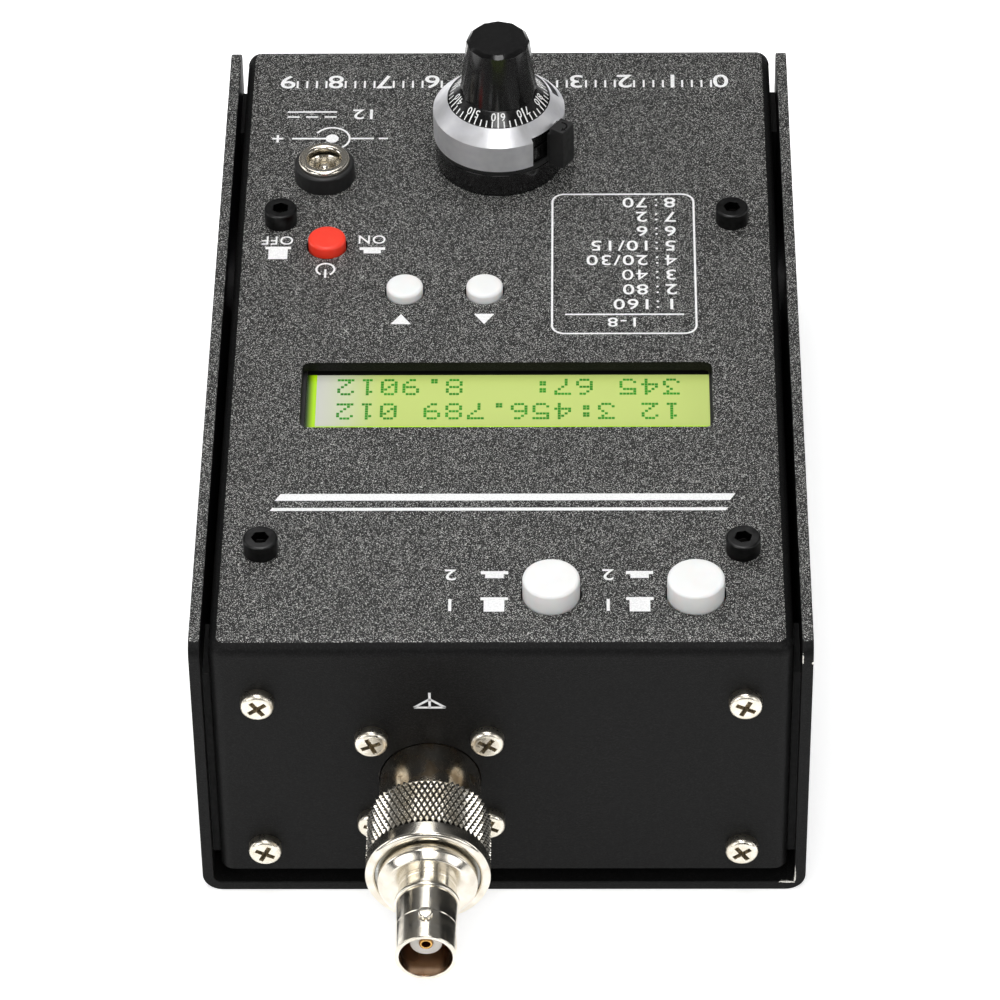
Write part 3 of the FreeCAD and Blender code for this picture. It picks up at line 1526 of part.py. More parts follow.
def make_step_buttons():
    """Two momentary switches with one-piece buttons."""
    switch = switch_case(
        "step_switch",
        size.step_case,
        size.step_case_height,
        circle(0, 0, size.step_stem + size.stem_play),
        size.step_hold + size.step_travel + size.shake,
    )
    places = {"down_button": size.down_x, "up_button": size.up_x}
    spots = [(x, step_y, 0, UPRIGHT) for x in places.values()]
    group("step_switches", *copies_of(switch, spots))
    case_top = board_top + size.step_case_height
    top = above(size.step_rise)
    head_low = case_top + size.cap_over
    for label, x in places.items():
        button = Piece(label, at=(x, step_y, 0))
        button.pad("XY", case_top - size.step_hold, head_low, circle(0, 0, size.step_stem))
        button.pad("XY", head_low, top, circle(0, 0, size.step_radius))
        button.fillet(size.cap_round, ring(size.step_radius, top))


def make_band_buttons():
    """Two latching switches with their plungers and large white caps."""
    switch = switch_case(
        "band_switch",
        size.band_case,
        size.band_case_height,
        square(0, 0, size.band_stem + 2 * size.stem_play),
        size.stem_hold + size.latch_travel + size.shake,
    )
    places = {"band_left": size.band_left_x, "band_right": band_right_x}
    spots = [(x, band_y, 0, UPRIGHT) for x in places.values()]
    group("band_switches", *copies_of(switch, spots))
    for name, x in places.items():
        make_latching_button(
            name,
            x,
            band_y,
            size.band_radius,
            size.band_rise,
            size.band_case_height,
            size.band_stem,
            size.latch_travel,
        )


# --- battery ---------------------------------------------------------------------


def make_battery():
    """Adhesive pad, tray, three cells and their contacts on the cover's floor."""
    x, y = 0, from_front(size.tray_y)
    cell_room = size.cell_long + size.cell_button + size.plate_thick * 2 + size.spring_long
    cell_pitch = 2 * size.cell_radius + size.cell_gap
    room_x = cell_pitch + size.cell_radius + size.shake
    room_y = cell_room / 2
    out_x, out_y = room_x + size.tray_wall, room_y + size.tray_wall
    pad_top = size.sheet + size.pad_thick
    floor = pad_top + size.tray_wall
    pad = Piece("battery_pad")
    margin = size.pad_margin
    pad_x, pad_y = out_x - margin, out_y - margin
    pad.pad("XY", size.sheet, pad_top, rectangle(-pad_x, y - pad_y, pad_x, y + pad_y))
    tray = Piece("battery_tray")
    tray.pad("XY", pad_top, pad_top + size.tray_height, rectangle(-out_x, y - out_y, out_x, y + out_y))
    tray.pocket(
        "XY", floor, pad_top + size.tray_height + PAST, rectangle(-room_x, y - room_y, room_x, y + room_y)
    )
    axis_z = floor + size.cell_radius + size.fixed_play
    cell = Piece("battery_cell", kept=False)
    cell.spin(
        [
            (0, 0),
            (size.cell_radius, 0),
            (size.cell_radius, size.cell_long),
            (size.cell_button_radius, size.cell_long),
            (size.cell_button_radius, size.cell_long + size.cell_button),
            (0, size.cell_long + size.cell_button),
        ]
    )
    cell.fillet(size.cell_edge, ring(size.cell_radius, 0), ring(size.cell_radius, size.cell_long))
    # the flat end of each cell sits on a spring, and its button on a plain plate
    spring_side = room_y - size.plate_thick - size.spring_long
    cells = []
    plates = []
    springs = []
    for column, turn in ((-1, OUT_OF_FRONT), (0, OUT_OF_REAR), (1, OUT_OF_FRONT)):
        way = -1 if turn is OUT_OF_FRONT else 1
        place_x = cell_pitch * column
        cells.append((place_x, y - way * spring_side, axis_z, turn))
        springs.append((place_x, y - way * room_y, axis_z, turn))
        plates.append((place_x, y + way * (room_y - size.plate_thick), axis_z, turn))
    group("battery_cells", *copies_of(cell, cells))
    half_plate = size.plate_size / 2
    spring = Piece("battery_spring", kept=False)
    spring.pad("XY", 0, size.plate_thick, rectangle(-half_plate, -half_plate, half_plate, half_plate))
    spring_top = size.plate_thick + size.spring_long
    spring.pad("XY", size.plate_thick, spring_top, circle(0, 0, size.spring_radius))
    plate = Piece("battery_plate", kept=False)
    plate.pad("XY", 0, size.plate_thick, rectangle(-half_plate, -half_plate, half_plate, half_plate))
    group("battery_contacts", *copies_of(spring, springs), *copies_of(plate, plates))


def check_document():
    """Stop if any object failed, or any sub-part isn't a valid solid."""
    doc.recompute()
    for thing in doc.Objects:
        if "Invalid" in thing.State or "Error" in thing.State:
            raise RuntimeError(f"{thing.Name} failed: {thing.State}")
    for part in parts:
        if part.Shape.isNull() or not part.Shape.isValid() or not part.Shape.Solids:
            raise RuntimeError(f"{part.Label} has no valid solid")


def export_parts():
    """Write each sub-part to its own file."""
    os.makedirs("parts", exist_ok=True)
    for part in parts:
        part.Shape.exportStep(f"parts/{part.Label}.step")
    print(f"{len(parts)} sub-parts written")


make_chassis()
make_cover()
make_brackets()
make_end_screws()
make_panel_screws()
make_posts()
make_main_board()
make_display_board()
make_display()
make_header()
make_chips()
make_jack()
make_flange_screws()
make_adapter()
make_adapter_core()
make_coupling()
make_potentiometer()
make_dial_base()
make_dial_ring()
make_counter_ring()
make_brake()
make_knob()
make_inlet()
make_power_button()
make_step_buttons()
make_band_buttons()
make_battery()
check_document()
export_parts()
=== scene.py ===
"""Looks of a desktop antenna analyser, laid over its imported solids.

Sizes are millimetres in the frame of the solids: +X to the right along the
front wall, +Y from the antenna connector's wall to the rear, +Z up out of the
control panel. A mesh is brought to metres once, when its piece is finished.
"""

import logging
import math
import random
from collections.abc import Callable, Sequence
from dataclasses import dataclass, field
from enum import Enum

import bmesh
import bpy
from mathutils import Matrix, Vector


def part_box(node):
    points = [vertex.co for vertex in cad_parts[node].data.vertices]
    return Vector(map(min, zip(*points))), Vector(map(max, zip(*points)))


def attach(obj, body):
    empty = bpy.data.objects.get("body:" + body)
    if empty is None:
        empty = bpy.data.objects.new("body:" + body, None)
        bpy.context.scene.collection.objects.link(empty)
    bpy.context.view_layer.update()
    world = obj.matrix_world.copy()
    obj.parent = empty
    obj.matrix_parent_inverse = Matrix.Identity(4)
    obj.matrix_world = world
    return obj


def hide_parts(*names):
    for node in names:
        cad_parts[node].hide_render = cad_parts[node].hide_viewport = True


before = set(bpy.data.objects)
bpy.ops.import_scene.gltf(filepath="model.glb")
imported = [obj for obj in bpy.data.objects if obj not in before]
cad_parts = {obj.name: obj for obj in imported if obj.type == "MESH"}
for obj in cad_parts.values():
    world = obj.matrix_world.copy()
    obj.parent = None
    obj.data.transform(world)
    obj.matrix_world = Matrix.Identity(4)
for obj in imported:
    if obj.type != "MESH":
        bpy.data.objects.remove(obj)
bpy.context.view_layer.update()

# a millimetre in metres
MM = 0.001
# how far print stands out of its surface, and how far it goes in
PRINT = 0.03
log = logging.getLogger("analyser")

Point = tuple[float, float]
Place = tuple[float, float, float]
# radius, height and rounding of a circular edge
Ring = tuple[float, float, float]
# radius or half width, back and front
Drum = tuple[float, float, float]
Colour = tuple[float, float, float, float]
Face = bmesh.types.BMFace
FaceTest = Callable[[Face], bool]
Tree = bpy.types.NodeTree
Node = bpy.types.Node
Socket = bpy.types.NodeSocket

# X and Z of the antenna connector's axis on the front wall
JACK_AXIS: Point = (-11.4, 25.15)
# most values of a noise lie in this span
NOISE_SPAN = {"From Min": 0.35, "From Max": 0.65}
# vertices of a node closer than this are one
WELD = 0.002
# facets of a node that turn by less than this, in degrees, are one flat face
FLAT_TURN = 0.7
# edges that turn by more than this, in degrees, are broken
EDGE_TURN = 32
# a vertex this close to a ring lies on it
ON_RING = 0.01
# facets across the rounding of a ring
RING_SEGMENTS = 4
# an arc has a facet for each of these degrees, and at least so many
ARC_STEP = 8
ARC_FACETS = 6
# how much heavier the strokes of the lettering are than the face has them
HEAVIER = 0.008


class Body(Enum):
    """Moving bodies of the instrument."""

    CASE = "case"
    DIAL = "dial"
    COUNTER = "counter"
    BRAKE = "brake"
    COUPLING = "coupling"
    POWER = "power_button"
    DOWN = "down_key"
    UP = "up_key"
    BAND_LEFT = "band_left"
    BAND_RIGHT = "band_right"


class Slot(Enum):
    """Material slots of the record."""

    PAINT = "case_paint"
    OXIDE = "black_oxide"
    NICKEL = "nickel"
    ZINC = "zinc_steel"
    ALUMINIUM = "satin_aluminium"
    BRASS = "brass_plain"
    GOLD = "gold_contact"
    PTFE = "ptfe"
    BOARD = "board_green"
    BLACK = "black_matte"
    GLOSS = "black_gloss"
    SCALE = "scale_print"
    RED = "cap_red"
    WHITE = "cap_white"
    RUBBER = "rubber_black"
    FOAM = "foam_pad"
    GLASS = "lcd_glass"
    LIGHT = "lcd_light"
    BEZEL = "bezel_black"
    WRAP = "cell_wrap"


# --- materials -----------------------------------------------------------------


def linear(code: str) -> Colour:
    """Turn an sRGB hex colour into linear RGBA.

    Args:
        code: six hex digits with a leading hash.

    Returns:
        The linear colour with full alpha.
    """
    channels = [int(code[i : i + 2], 16) / 255 for i in (1, 3, 5)]
    low = [c / 12.92 if c <= 0.04045 else ((c + 0.055) / 1.055) ** 2.4 for c in channels]
    return (low[0], low[1], low[2], 1.0)


def add_node(
    tree: Tree,
    kind: str,
    settings: dict[str | int, object] | None = None,
    links: dict[str | int, Socket | Node] | None = None,
) -> Node:
    """Add a node with its settings and incoming links.

    Args:
        tree: node tree to add to.
        kind: node type, without the ShaderNode that each begins with.
        settings: properties by name, and input defaults by name or index.
        links: source sockets by input name or index; a node stands for its first output.

    Returns:
        The new node.
    """
    node = tree.nodes.new(f"ShaderNode{kind}")
    for name, value in (settings or {}).items():
        if isinstance(name, int) or name in node.inputs:
            node.inputs[name].default_value = value
        else:
            setattr(node, name, value)
    for name, source in (links or {}).items():
        socket = source.outputs[0] if isinstance(source, Node) else source
        tree.links.new(socket, node.inputs[name])
    return node


def patches(tree: Tree, place: Socket, size: float, one: str, other: str) -> tuple[Socket, Socket]:
    """Spread two colours in soft patches.

    Args:
        tree: node tree to build in.
        place: object coordinates.
        size: size of the patches in millimetres.
        one: hex code of the first colour.
        other: hex code of the second.

    Returns:
        The share of the second colour, and the mixed colour.
    """
    noise = add_node(tree, "TexNoise", {"Scale": 1 / (size * MM)}, {"Vector": place})
    share = add_node(tree, "MapRange", NOISE_SPAN, {"Value": noise.outputs["Fac"]})
    tint = add_node(
        tree, "Mix", {"data_type": "RGBA", 6: linear(one), 7: linear(other)}, {0: share}
    )
    return share.outputs[0], tint.outputs[2]


@dataclass(frozen=True)
class Finish:
    """A surface finish: its name, colour and gloss."""

    name: str
    colour: str
    roughness: float = 0.4

    def material(self) -> bpy.types.Material:
        """Give the Blender material of this finish, made on first use.

        Returns:
            The material.
        """
        known = bpy.data.materials.get(self.name)
        if known:
            return known
        made = bpy.data.materials.new(self.name)
        made.use_nodes = True
        made.diffuse_color = linear(self.colour)
        tree = made.node_tree
        tree.nodes.clear()
        place = add_node(tree, "TexCoord").outputs["Object"]
        shader = self.shade(tree, place)
        add_node(tree, "OutputMaterial", links={"Surface": shader})
        return made

    def shade(self, tree: Tree, place: Socket) -> Node:
        """Build the shader; each kind of finish has its own."""
        raise NotImplementedError


@dataclass(frozen=True)
class Chip:
    """Ragged nick in a coat: its middle and its half size along each axis."""

    at: Place
    half: Place


@dataclass(frozen=True)
class PowderCoat(Finish):
    """Powder sprayed on dry and baked: grains of a few tenths of a millimetre.

    A share of the grains takes the speck colour, which where bright is painted
    glints of grains catching the light, and chips show the bare sheet.
    """

    speck: str = "#1c1c1c"
    bare_metal: str = "#d9d6cf"
    dull_share: float = 0.5
    grain: float = 0.2
    height: float = 0.03
    gloss: float = 0.1
    sparkle: float = 0.05
    ragged: float = 0.4
    chips: tuple[Chip, ...] = ()

    def shade(self, tree: Tree, place: Socket) -> Node:
        """Black with speck-coloured grains, bright ones being painted glints, uneven gloss, and
        bare metal in the chips.

        Args:
            tree: node tree to build in.
            place: object coordinates.

        Returns:
            The shader.
        """
        grains = add_node(tree, "TexVoronoi", {"Scale": 1 / (self.grain * MM)}, {"Vector": place})
        chance = add_node(tree, "SeparateColor", links={0: grains.outputs["Color"]})
        lit = add_node(
            tree,
            "MapRange",
            {"From Min": self.dull_share, "From Max": 1.0, "interpolation_type": "SMOOTHSTEP"},
            {"Value": chance},
        )
        # painted glints: the lit share of the grains takes the speck colour, bright on the top coat
        tint = add_node(
            tree,
            "Mix",
            {"data_type": "RGBA", 6: linear(self.colour), 7: linear(self.speck)},
            {0: lit},
        )
        gloss = add_node(
            tree,
            "MapRange",
            {"To Min": self.roughness - self.sparkle, "To Max": self.roughness + self.sparkle},
            {"Value": chance.outputs[2]},
        )
        raised = add_node(
            tree,
            "Bump",
            {"Strength": 0.9, "Distance": self.height * MM},
            {"Height": chance.outputs[1]},
        )
        links = {"Base Color": tint.outputs[2], "Roughness": gloss, "Normal": raised}
        if self.chips:
            bare = self.chipped(tree, place)
            colour = add_node(
                tree,
                "Mix",
                {"data_type": "RGBA", 7: linear(self.bare_metal)},
                {0: bare, 6: tint.outputs[2]},
            )
            links |= {"Base Color": colour.outputs[2], "Metallic": bare}
        settings = {"IOR": 1.5, "Specular IOR Level": self.gloss}
        return add_node(tree, "BsdfPrincipled", settings, links)

    def chipped(self, tree: Tree, place: Socket) -> Node:
        """Find where the coat is chipped off.

        Args:
            tree: node tree to build in.
            place: object coordinates.

        Returns:
            The node of a value that is one in the chips and zero elsewhere.
        """
        ragged = add_node(tree, "TexNoise", {"Scale": 1 / (self.ragged * MM)}, {"Vector": place})
        edge = add_node(tree, "Math", {"operation": "MULTIPLY", 1: 2.0}, {0: ragged.outputs["Fac"]})
        total = add_node(tree, "Math", {0: 0.0, 1: 0.0})
        for chip in self.chips:
            away = add_node(
                tree,
                "VectorMath",
                {"operation": "SUBTRACT", 1: [part * MM for part in chip.at]},
                {0: place},
            )
            shares = add_node(
                tree,
                "VectorMath",
                {"operation": "DIVIDE", 1: [part * MM for part in chip.half]},
                {0: away},
            )
            reach = add_node(tree, "VectorMath", {"operation": "LENGTH"}, {0: shares})
            inside = add_node(
                tree, "Math", {"operation": "LESS_THAN"}, {0: reach.outputs["Value"], 1: edge}
            )
            total = add_node(tree, "Math", {"operation": "MAXIMUM"}, {0: total, 1: inside})
        return total


@dataclass(frozen=True)
class Metal(Finish):
    """Turned, plated or anodised metal, with faint tool lines and uneven gloss."""

    stain: str = "#808080"
    metallic: float = 1.0
    blot: float = 2.5
    line: float = 0.25
    line_height: float = 0.0015
    uneven: float = 0.06

    def shade(self, tree: Tree, place: Socket) -> Node:
        """Metal whose gloss and tint vary a little.

        Args:
            tree: node tree to build in.
            place: object coordinates.

        Returns:
            The shader.
        """
        share, tint = patches(tree, place, self.blot, self.colour, self.stain)
        gloss = add_node(
            tree,
            "MapRange",
            {"To Min": self.roughness - self.uneven, "To Max": self.roughness + self.uneven},
            {"Value": share},
        )
        lines = add_node(tree, "TexNoise", {"Scale": 1 / (self.line * MM)}, {"Vector": place})
        raised = add_node(
            tree,
            "Bump",
            {"Strength": 0.5, "Distance": self.line_height * MM},
            {"Height": lines.outputs["Fac"]},
        )
        return add_node(
            tree,
            "BsdfPrincipled",
            {"Metallic": self.metallic},
            {"Base Color": tint, "Roughness": gloss, "Normal": raised},
        )


@dataclass(frozen=True)
class KnurledMetal(Metal):
    """Metal darkened in its grooves by grime and painted shade, round the antenna connector's axis.
    """

    grime: str = "#14120f"
    grime_roughness: float = 0.5
    root: float = 9.24
    tip: float = 9.52

    def shade(self, tree: Tree, place: Socket) -> Node:
        """Bright tips over dull grooves darkened with grime and painted shade.

        Args:
            tree: node tree to build in.
            place: object coordinates.

        Returns:
            The shader.
        """
        shader = super().shade(tree, place)
        plating = shader.inputs["Base Color"].links[0].from_socket
        gloss = shader.inputs["Roughness"].links[0].from_socket
        x, z = JACK_AXIS
        away = add_node(
            tree, "VectorMath", {"operation": "SUBTRACT", 1: (x * MM, 0.0, z * MM)}, {0: place}
        )
        flat = add_node(tree, "VectorMath", {"operation": "MULTIPLY", 1: (1, 0, 1)}, {0: away})
        radius = add_node(tree, "VectorMath", {"operation": "LENGTH"}, {0: flat})
        tip_share = add_node(
            tree,
            "MapRange",
            {"From Min": self.root * MM, "From Max": self.tip * MM},
            {"Value": radius.outputs["Value"]},
        )
        # painted shade: below the tips the grooves take the grime colour, for grime and the shade
        # down them
        tint = add_node(
            tree, "Mix", {"data_type": "RGBA", 6: linear(self.grime)}, {0: tip_share, 7: plating}
        )
        dulled = add_node(
            tree, "Mix", {"data_type": "FLOAT", 2: self.grime_roughness}, {0: tip_share, 3: gloss}
        )
        tree.links.new(tint.outputs[2], shader.inputs["Base Color"])
        tree.links.new(dulled.outputs[0], shader.inputs["Roughness"])
        return shader


@dataclass(frozen=True)
class Moulded(Finish):
    """Moulded plastic or rubber, or brushed-on paint, with its skin's faint ripple."""

    drift: str = "#808080"
    cloud: float = 4.0
    ripple: float = 0.8
    ripple_height: float = 0.004
    coat: float = 0.0
    glow: float = 0.0

    def shade(self, tree: Tree, place: Socket) -> Node:
        """Plastic with rippled gloss and a slight drift of colour.

        Args:
            tree: node tree to build in.
            place: object coordinates.

        Returns:
            The shader.
        """
        tint = patches(tree, place, self.cloud, self.colour, self.drift)[1]
        skin = add_node(tree, "TexNoise", {"Scale": 1 / (self.ripple * MM)}, {"Vector": place})
        gloss = add_node(
            tree,
            "MapRange",
            {**NOISE_SPAN, "To Min": self.roughness - 0.04, "To Max": self.roughness + 0.06},
            {"Value": skin.outputs["Fac"]},
        )
        raised = add_node(
            tree,
            "Bump",
            {"Strength": 0.6, "Distance": self.ripple_height * MM},
            {"Height": skin.outputs["Fac"]},
        )
        return add_node(
            tree,
            "BsdfPrincipled",
            {
                "IOR": 1.5,
                "Coat Weight": self.coat,
                "Coat Roughness": 0.06,
                "Subsurface Weight": self.glow,
                "Subsurface Radius": (1.2 * MM, 0.9 * MM, 0.8 * MM),
                "Subsurface Scale": 1.0,
            },
            {"Base Color": tint, "Roughness": gloss, "Normal": raised},
        )


@dataclass(frozen=True)
class Ink(Finish):
    """Ink pressed through a screen or wiped into engraving, a little uneven."""

    thin: str = "#e8e8e8"
    grain: float = 0.3

    def shade(self, tree: Tree, place: Socket) -> Node:
        """Matt ink that is thinner on the grains under it.

        Args:
            tree: node tree to build in.
            place: object coordinates.

        Returns:
            The shader.
        """
        tint = patches(tree, place, self.grain, self.thin, self.colour)[1]
        return add_node(tree, "BsdfPrincipled", {"Roughness": self.roughness}, {"Base Color": tint})


@dataclass(frozen=True)
class Laminate(Finish):
    """Solder mask over woven glass cloth."""

    thread: str = "#0f5c34"
    weave: float = 0.6

    def shade(self, tree: Tree, place: Socket) -> Node:
        """Glossy mask with a faint cloth weave.

        Args:
            tree: node tree to build in.
            place: object coordinates.

        Returns:
            The shader.
        """
        cloth = add_node(
            tree,
            "TexChecker",
            {
                "Scale": 1 / (self.weave * MM),
                "Color1": linear(self.colour),
                "Color2": linear(self.thread),
            },
            {"Vector": place},
        )
        raised = add_node(
            tree, "Bump", {"Strength": 0.3, "Distance": 0.01 * MM}, {"Height": cloth.outputs["Fac"]}
        )
        return add_node(
            tree,
            "BsdfPrincipled",
            {"Roughness": self.roughness, "Coat Weight": 0.3},
            {"Base Color": cloth.outputs["Color"], "Normal": raised},
        )


@dataclass(frozen=True)
class LitCell(Finish):
    """Liquid crystal between glass plates, lit from one end of the block behind."""

    washed: str = "#d0d0ca"
    lamp_x: float = -32.3
    even_x: float = -19.0
    strength: float = 0.12

    def shade(self, tree: Tree, place: Socket) -> Node:
        """Softly lit glass that pales to grey towards the lamp.

        Args:
            tree: node tree to build in.
            place: object coordinates.

        Returns:
            The shader.
        """
        axes = add_node(tree, "SeparateXYZ", links={0: place})
        along = add_node(
            tree,
            "MapRange",
            {
                "From Min": self.lamp_x * MM,
                "From Max": self.even_x * MM,
                "interpolation_type": "SMOOTHSTEP",
            },
            {"Value": axes.outputs["X"]},
        )
        tint = add_node(
            tree,
            "Mix",
            {"data_type": "RGBA", 6: linear(self.washed), 7: linear(self.colour)},
            {0: along},
        )
        return add_node(
            tree,
            "BsdfPrincipled",
            {"Roughness": self.roughness, "Emission Strength": self.strength, "Coat Weight": 0.6},
            {"Base Color": tint.outputs[2], "Emission Color": tint.outputs[2]},
        )


# Epoxy powder coat, sprayed and baked: near black, dull, faintly sandy.
COAT = PowderCoat("black_powder_coat_walls", "#121212", 0.45)
# The same powder laid on thicker on the upper faces: coarse sand whose bright grains are painted
# glints, standing in for its sparkle under a light from above.
TOP_COAT_GLINTS = PowderCoat(
    "black_sand_powder_coat_top_painted_glints",
    "#0a0a0a",
    0.5,
    speck="#e2e2de",
    dull_share=0.74,
    grain=0.11,
    height=0.05,
    gloss=0.45,
    sparkle=0.16,
)
# The walls' coat on the cover, knocked off the sheet's corners in handling: bright bare nicks.
COVER_COAT = PowderCoat(
    "black_powder_coat_cover",
    "#121212",
    0.45,
    chips=(
        Chip((46.75, -76.0, 3.3), (0.16, 0.6, 1.6)),
        Chip((45.6, -76.0, 1.72), (1.3, 0.6, 0.16)),
        Chip((46.8, -76.0, 51.3), (0.14, 0.5, 0.9)),
        Chip((48.4, -76.0, 50.4), (0.2, 0.4, 0.25)),
    ),
)
# Bright nickel, plated on turned brass: a clean, slightly warm mirror, softened by tool lines.
NICKEL = Metal("bright_nickel_plate", "#e6e1d6", 0.2, stain="#d6cfc1")
# Nickel on steel screw heads, barrel plated: creamy and softer than on turned pieces.
SCREW_NICKEL = Metal("barrel_nickel_plate", "#efe9dc", 0.3, stain="#e4dccb", blot=1.2)
# Nickel in recesses, brownish and dull: partly thin plating, partly painted shade of the recess.
RECESS_NICKEL = Metal(
    "thin_nickel_and_painted_shade_in_recess", "#c9b896", 0.42, stain="#6b6252", metallic=0.6, blot=0.6
)
# Handled nickel on the jack, dulled by finger marks: bright with brownish patches.
DULL_NICKEL = Metal("handled_nickel_plate", "#ece6da", 0.24, stain="#a8967e", blot=3.5)
# Brass showing through thin nickel down the bore: soft brown.
WORN_NICKEL = Metal("thin_nickel_over_brass", "#c8ac92", 0.26, stain="#a4876c", blot=5.0)
# Bright nickel over a rolled diamond knurl, darkened down its grooves by grime from fingers and
# painted shade.
KNURL_NICKEL = KnurledMetal("nickel_plated_knurl", "#fbf7ee", 0.16, stain="#ded7c8")
# Bright zinc, plated on steel: bluish grey, half glossy.
ZINC = Metal("zinc_plated_steel", "#b9bab8", 0.3, stain="#9c9d9a")
# Hard gold flash on a turned contact: warm yellow, glossy.
GOLD = Metal("gold_flash", "#dcb06a", 0.22, stain="#b98a48")
# Plain turned brass: yellow, with fine tool lines.
BRASS = Metal("turned_brass", "#c9a55a", 0.28, stain="#ab8540")
# Blasted and clear anodised aluminium: its oxide scatters light, so it shines white and soft.
ALUMINIUM = Metal(
    "satin_anodised_aluminium",
    "#f2f2f4",
    0.36,
    stain="#e4e4e8",
    metallic=0.75,
    line=0.2,
    line_height=0.004,
)
# Steel blackened in hot salts: brownish black with a dull metal sheen.
OXIDE = Metal("black_oxide_steel", "#3a3a3a", 0.34, stain="#242424")
# The same steel, darker and duller in the hex recess.
RECESS_OXIDE = Metal("black_oxide_in_recess", "#1c1b1a", 0.55, stain="#121211")
# ABS from an eroded mould: dark grey black, satin.
BLACK_ABS = Moulded("black_abs_satin", "#191919", 0.45, drift="#141414")
# Phenolic from a polished mould: deep black, glossy as glass.
BLACK_GLOSS = Moulded("black_phenolic_gloss", "#0b0b0b", 0.16, coat=0.2, drift="#101010")
# The dial's skirt, from the same polished mould but finely turned afterwards.
DIAL_BLACK = Moulded("black_dial_skirt", "#0d0d0d", 0.2, coat=0.3, drift="#131313")
# Red ABS, moulded: strong flat red that glows a little through its corners.
RED_ABS = Moulded("red_abs", "#ff3a22", 0.36, drift="#ff422a", glow=0.5)
# White ABS, moulded: clean white with soft edges of shade.
WHITE_ABS = Moulded("white_abs", "#f9f9f7", 0.34, drift="#f5f5f3", glow=0.45)
# PTFE, sintered and turned: milky white, light goes into it.
PTFE = Moulded("white_ptfe", "#fefefb", 0.42, drift="#fafaf5", glow=0.2)
# Moulded rubber: black and dull.
RUBBER = Moulded("black_rubber", "#151515", 0.7, drift="#1b1b1b", ripple_height=0.01)
# Cut foam tape: grey, dull, with open cells.
FOAM = Moulded(
    "grey_adhesive_foam", "#8b8b88", 0.9, drift="#7f7f7c", ripple=0.3, ripple_height=0.05
)
# Shrunk film round the cells: thin green plastic, tight and glossy.
SLEEVE = Moulded("cell_shrink_sleeve", "#2f6a46", 0.25, drift="#285c3c", coat=0.4)
# Cast acrylic block with a frosted back: pale green and smooth.
DIFFUSER = Moulded("light_block_acrylic", "#dfe6b4", 0.3, drift="#d5dfa0")
# The lit edge of that block beside the glass: yellow green, dark where the frame shades it.
EDGE_LIGHT = LitCell(
    "light_block_edge", "#aee000", 0.4, washed="#1c3404", even_x=-30.9, strength=0.2
)
# Stove-enamelled steel of the display frame: black, half glossy.
STEEL_BLACK = Moulded("black_enamelled_steel", "#161616", 0.35, drift="#121212")
# Steel dipped in black primer, hidden inside the corners: black without shine.
PRIMER = Moulded("black_dip_primer", "#050505", 0.85, drift="#080808")
# Two-part screen ink on the panel: matt white, thinner on the grains.
WHITE_INK = Ink("white_screen_ink", "#ffffff", 0.6, thin="#ececec")
# Paint wiped into engraving: even matt white.
SCALE_INK = Ink("white_engraved_fill", "#ffffff", 0.5, thin="#e6e6e4")
# Solder mask over glass cloth: deep green with a faint weave. The weave is three times too coarse.
MASK = Laminate("green_solder_mask", "#15703f", 0.25)
# Twisted liquid crystal under a rear polariser: dull yellow green, lit from behind.
CELL = LitCell("lit_liquid_crystal", "#c2d378", 0.2)
# Switched dots of the crystal: they block the light to a strong dark green.
DOT = Moulded("liquid_crystal_dots", "#1c8600", 0.6, drift="#289c0a")


# --- mesh building ---------------------------------------------------------------


def put(name: str, data: bpy.types.ID) -> bpy.types.Object:
    """Put a new object into the scene.

    Args:
        name: name of the object.
        data: its mesh, curve, lamp or camera.

    Returns:
        The object.
    """
    made = bpy.data.objects.new(name, data)
    bpy.context.scene.collection.objects.link(made)
    return made


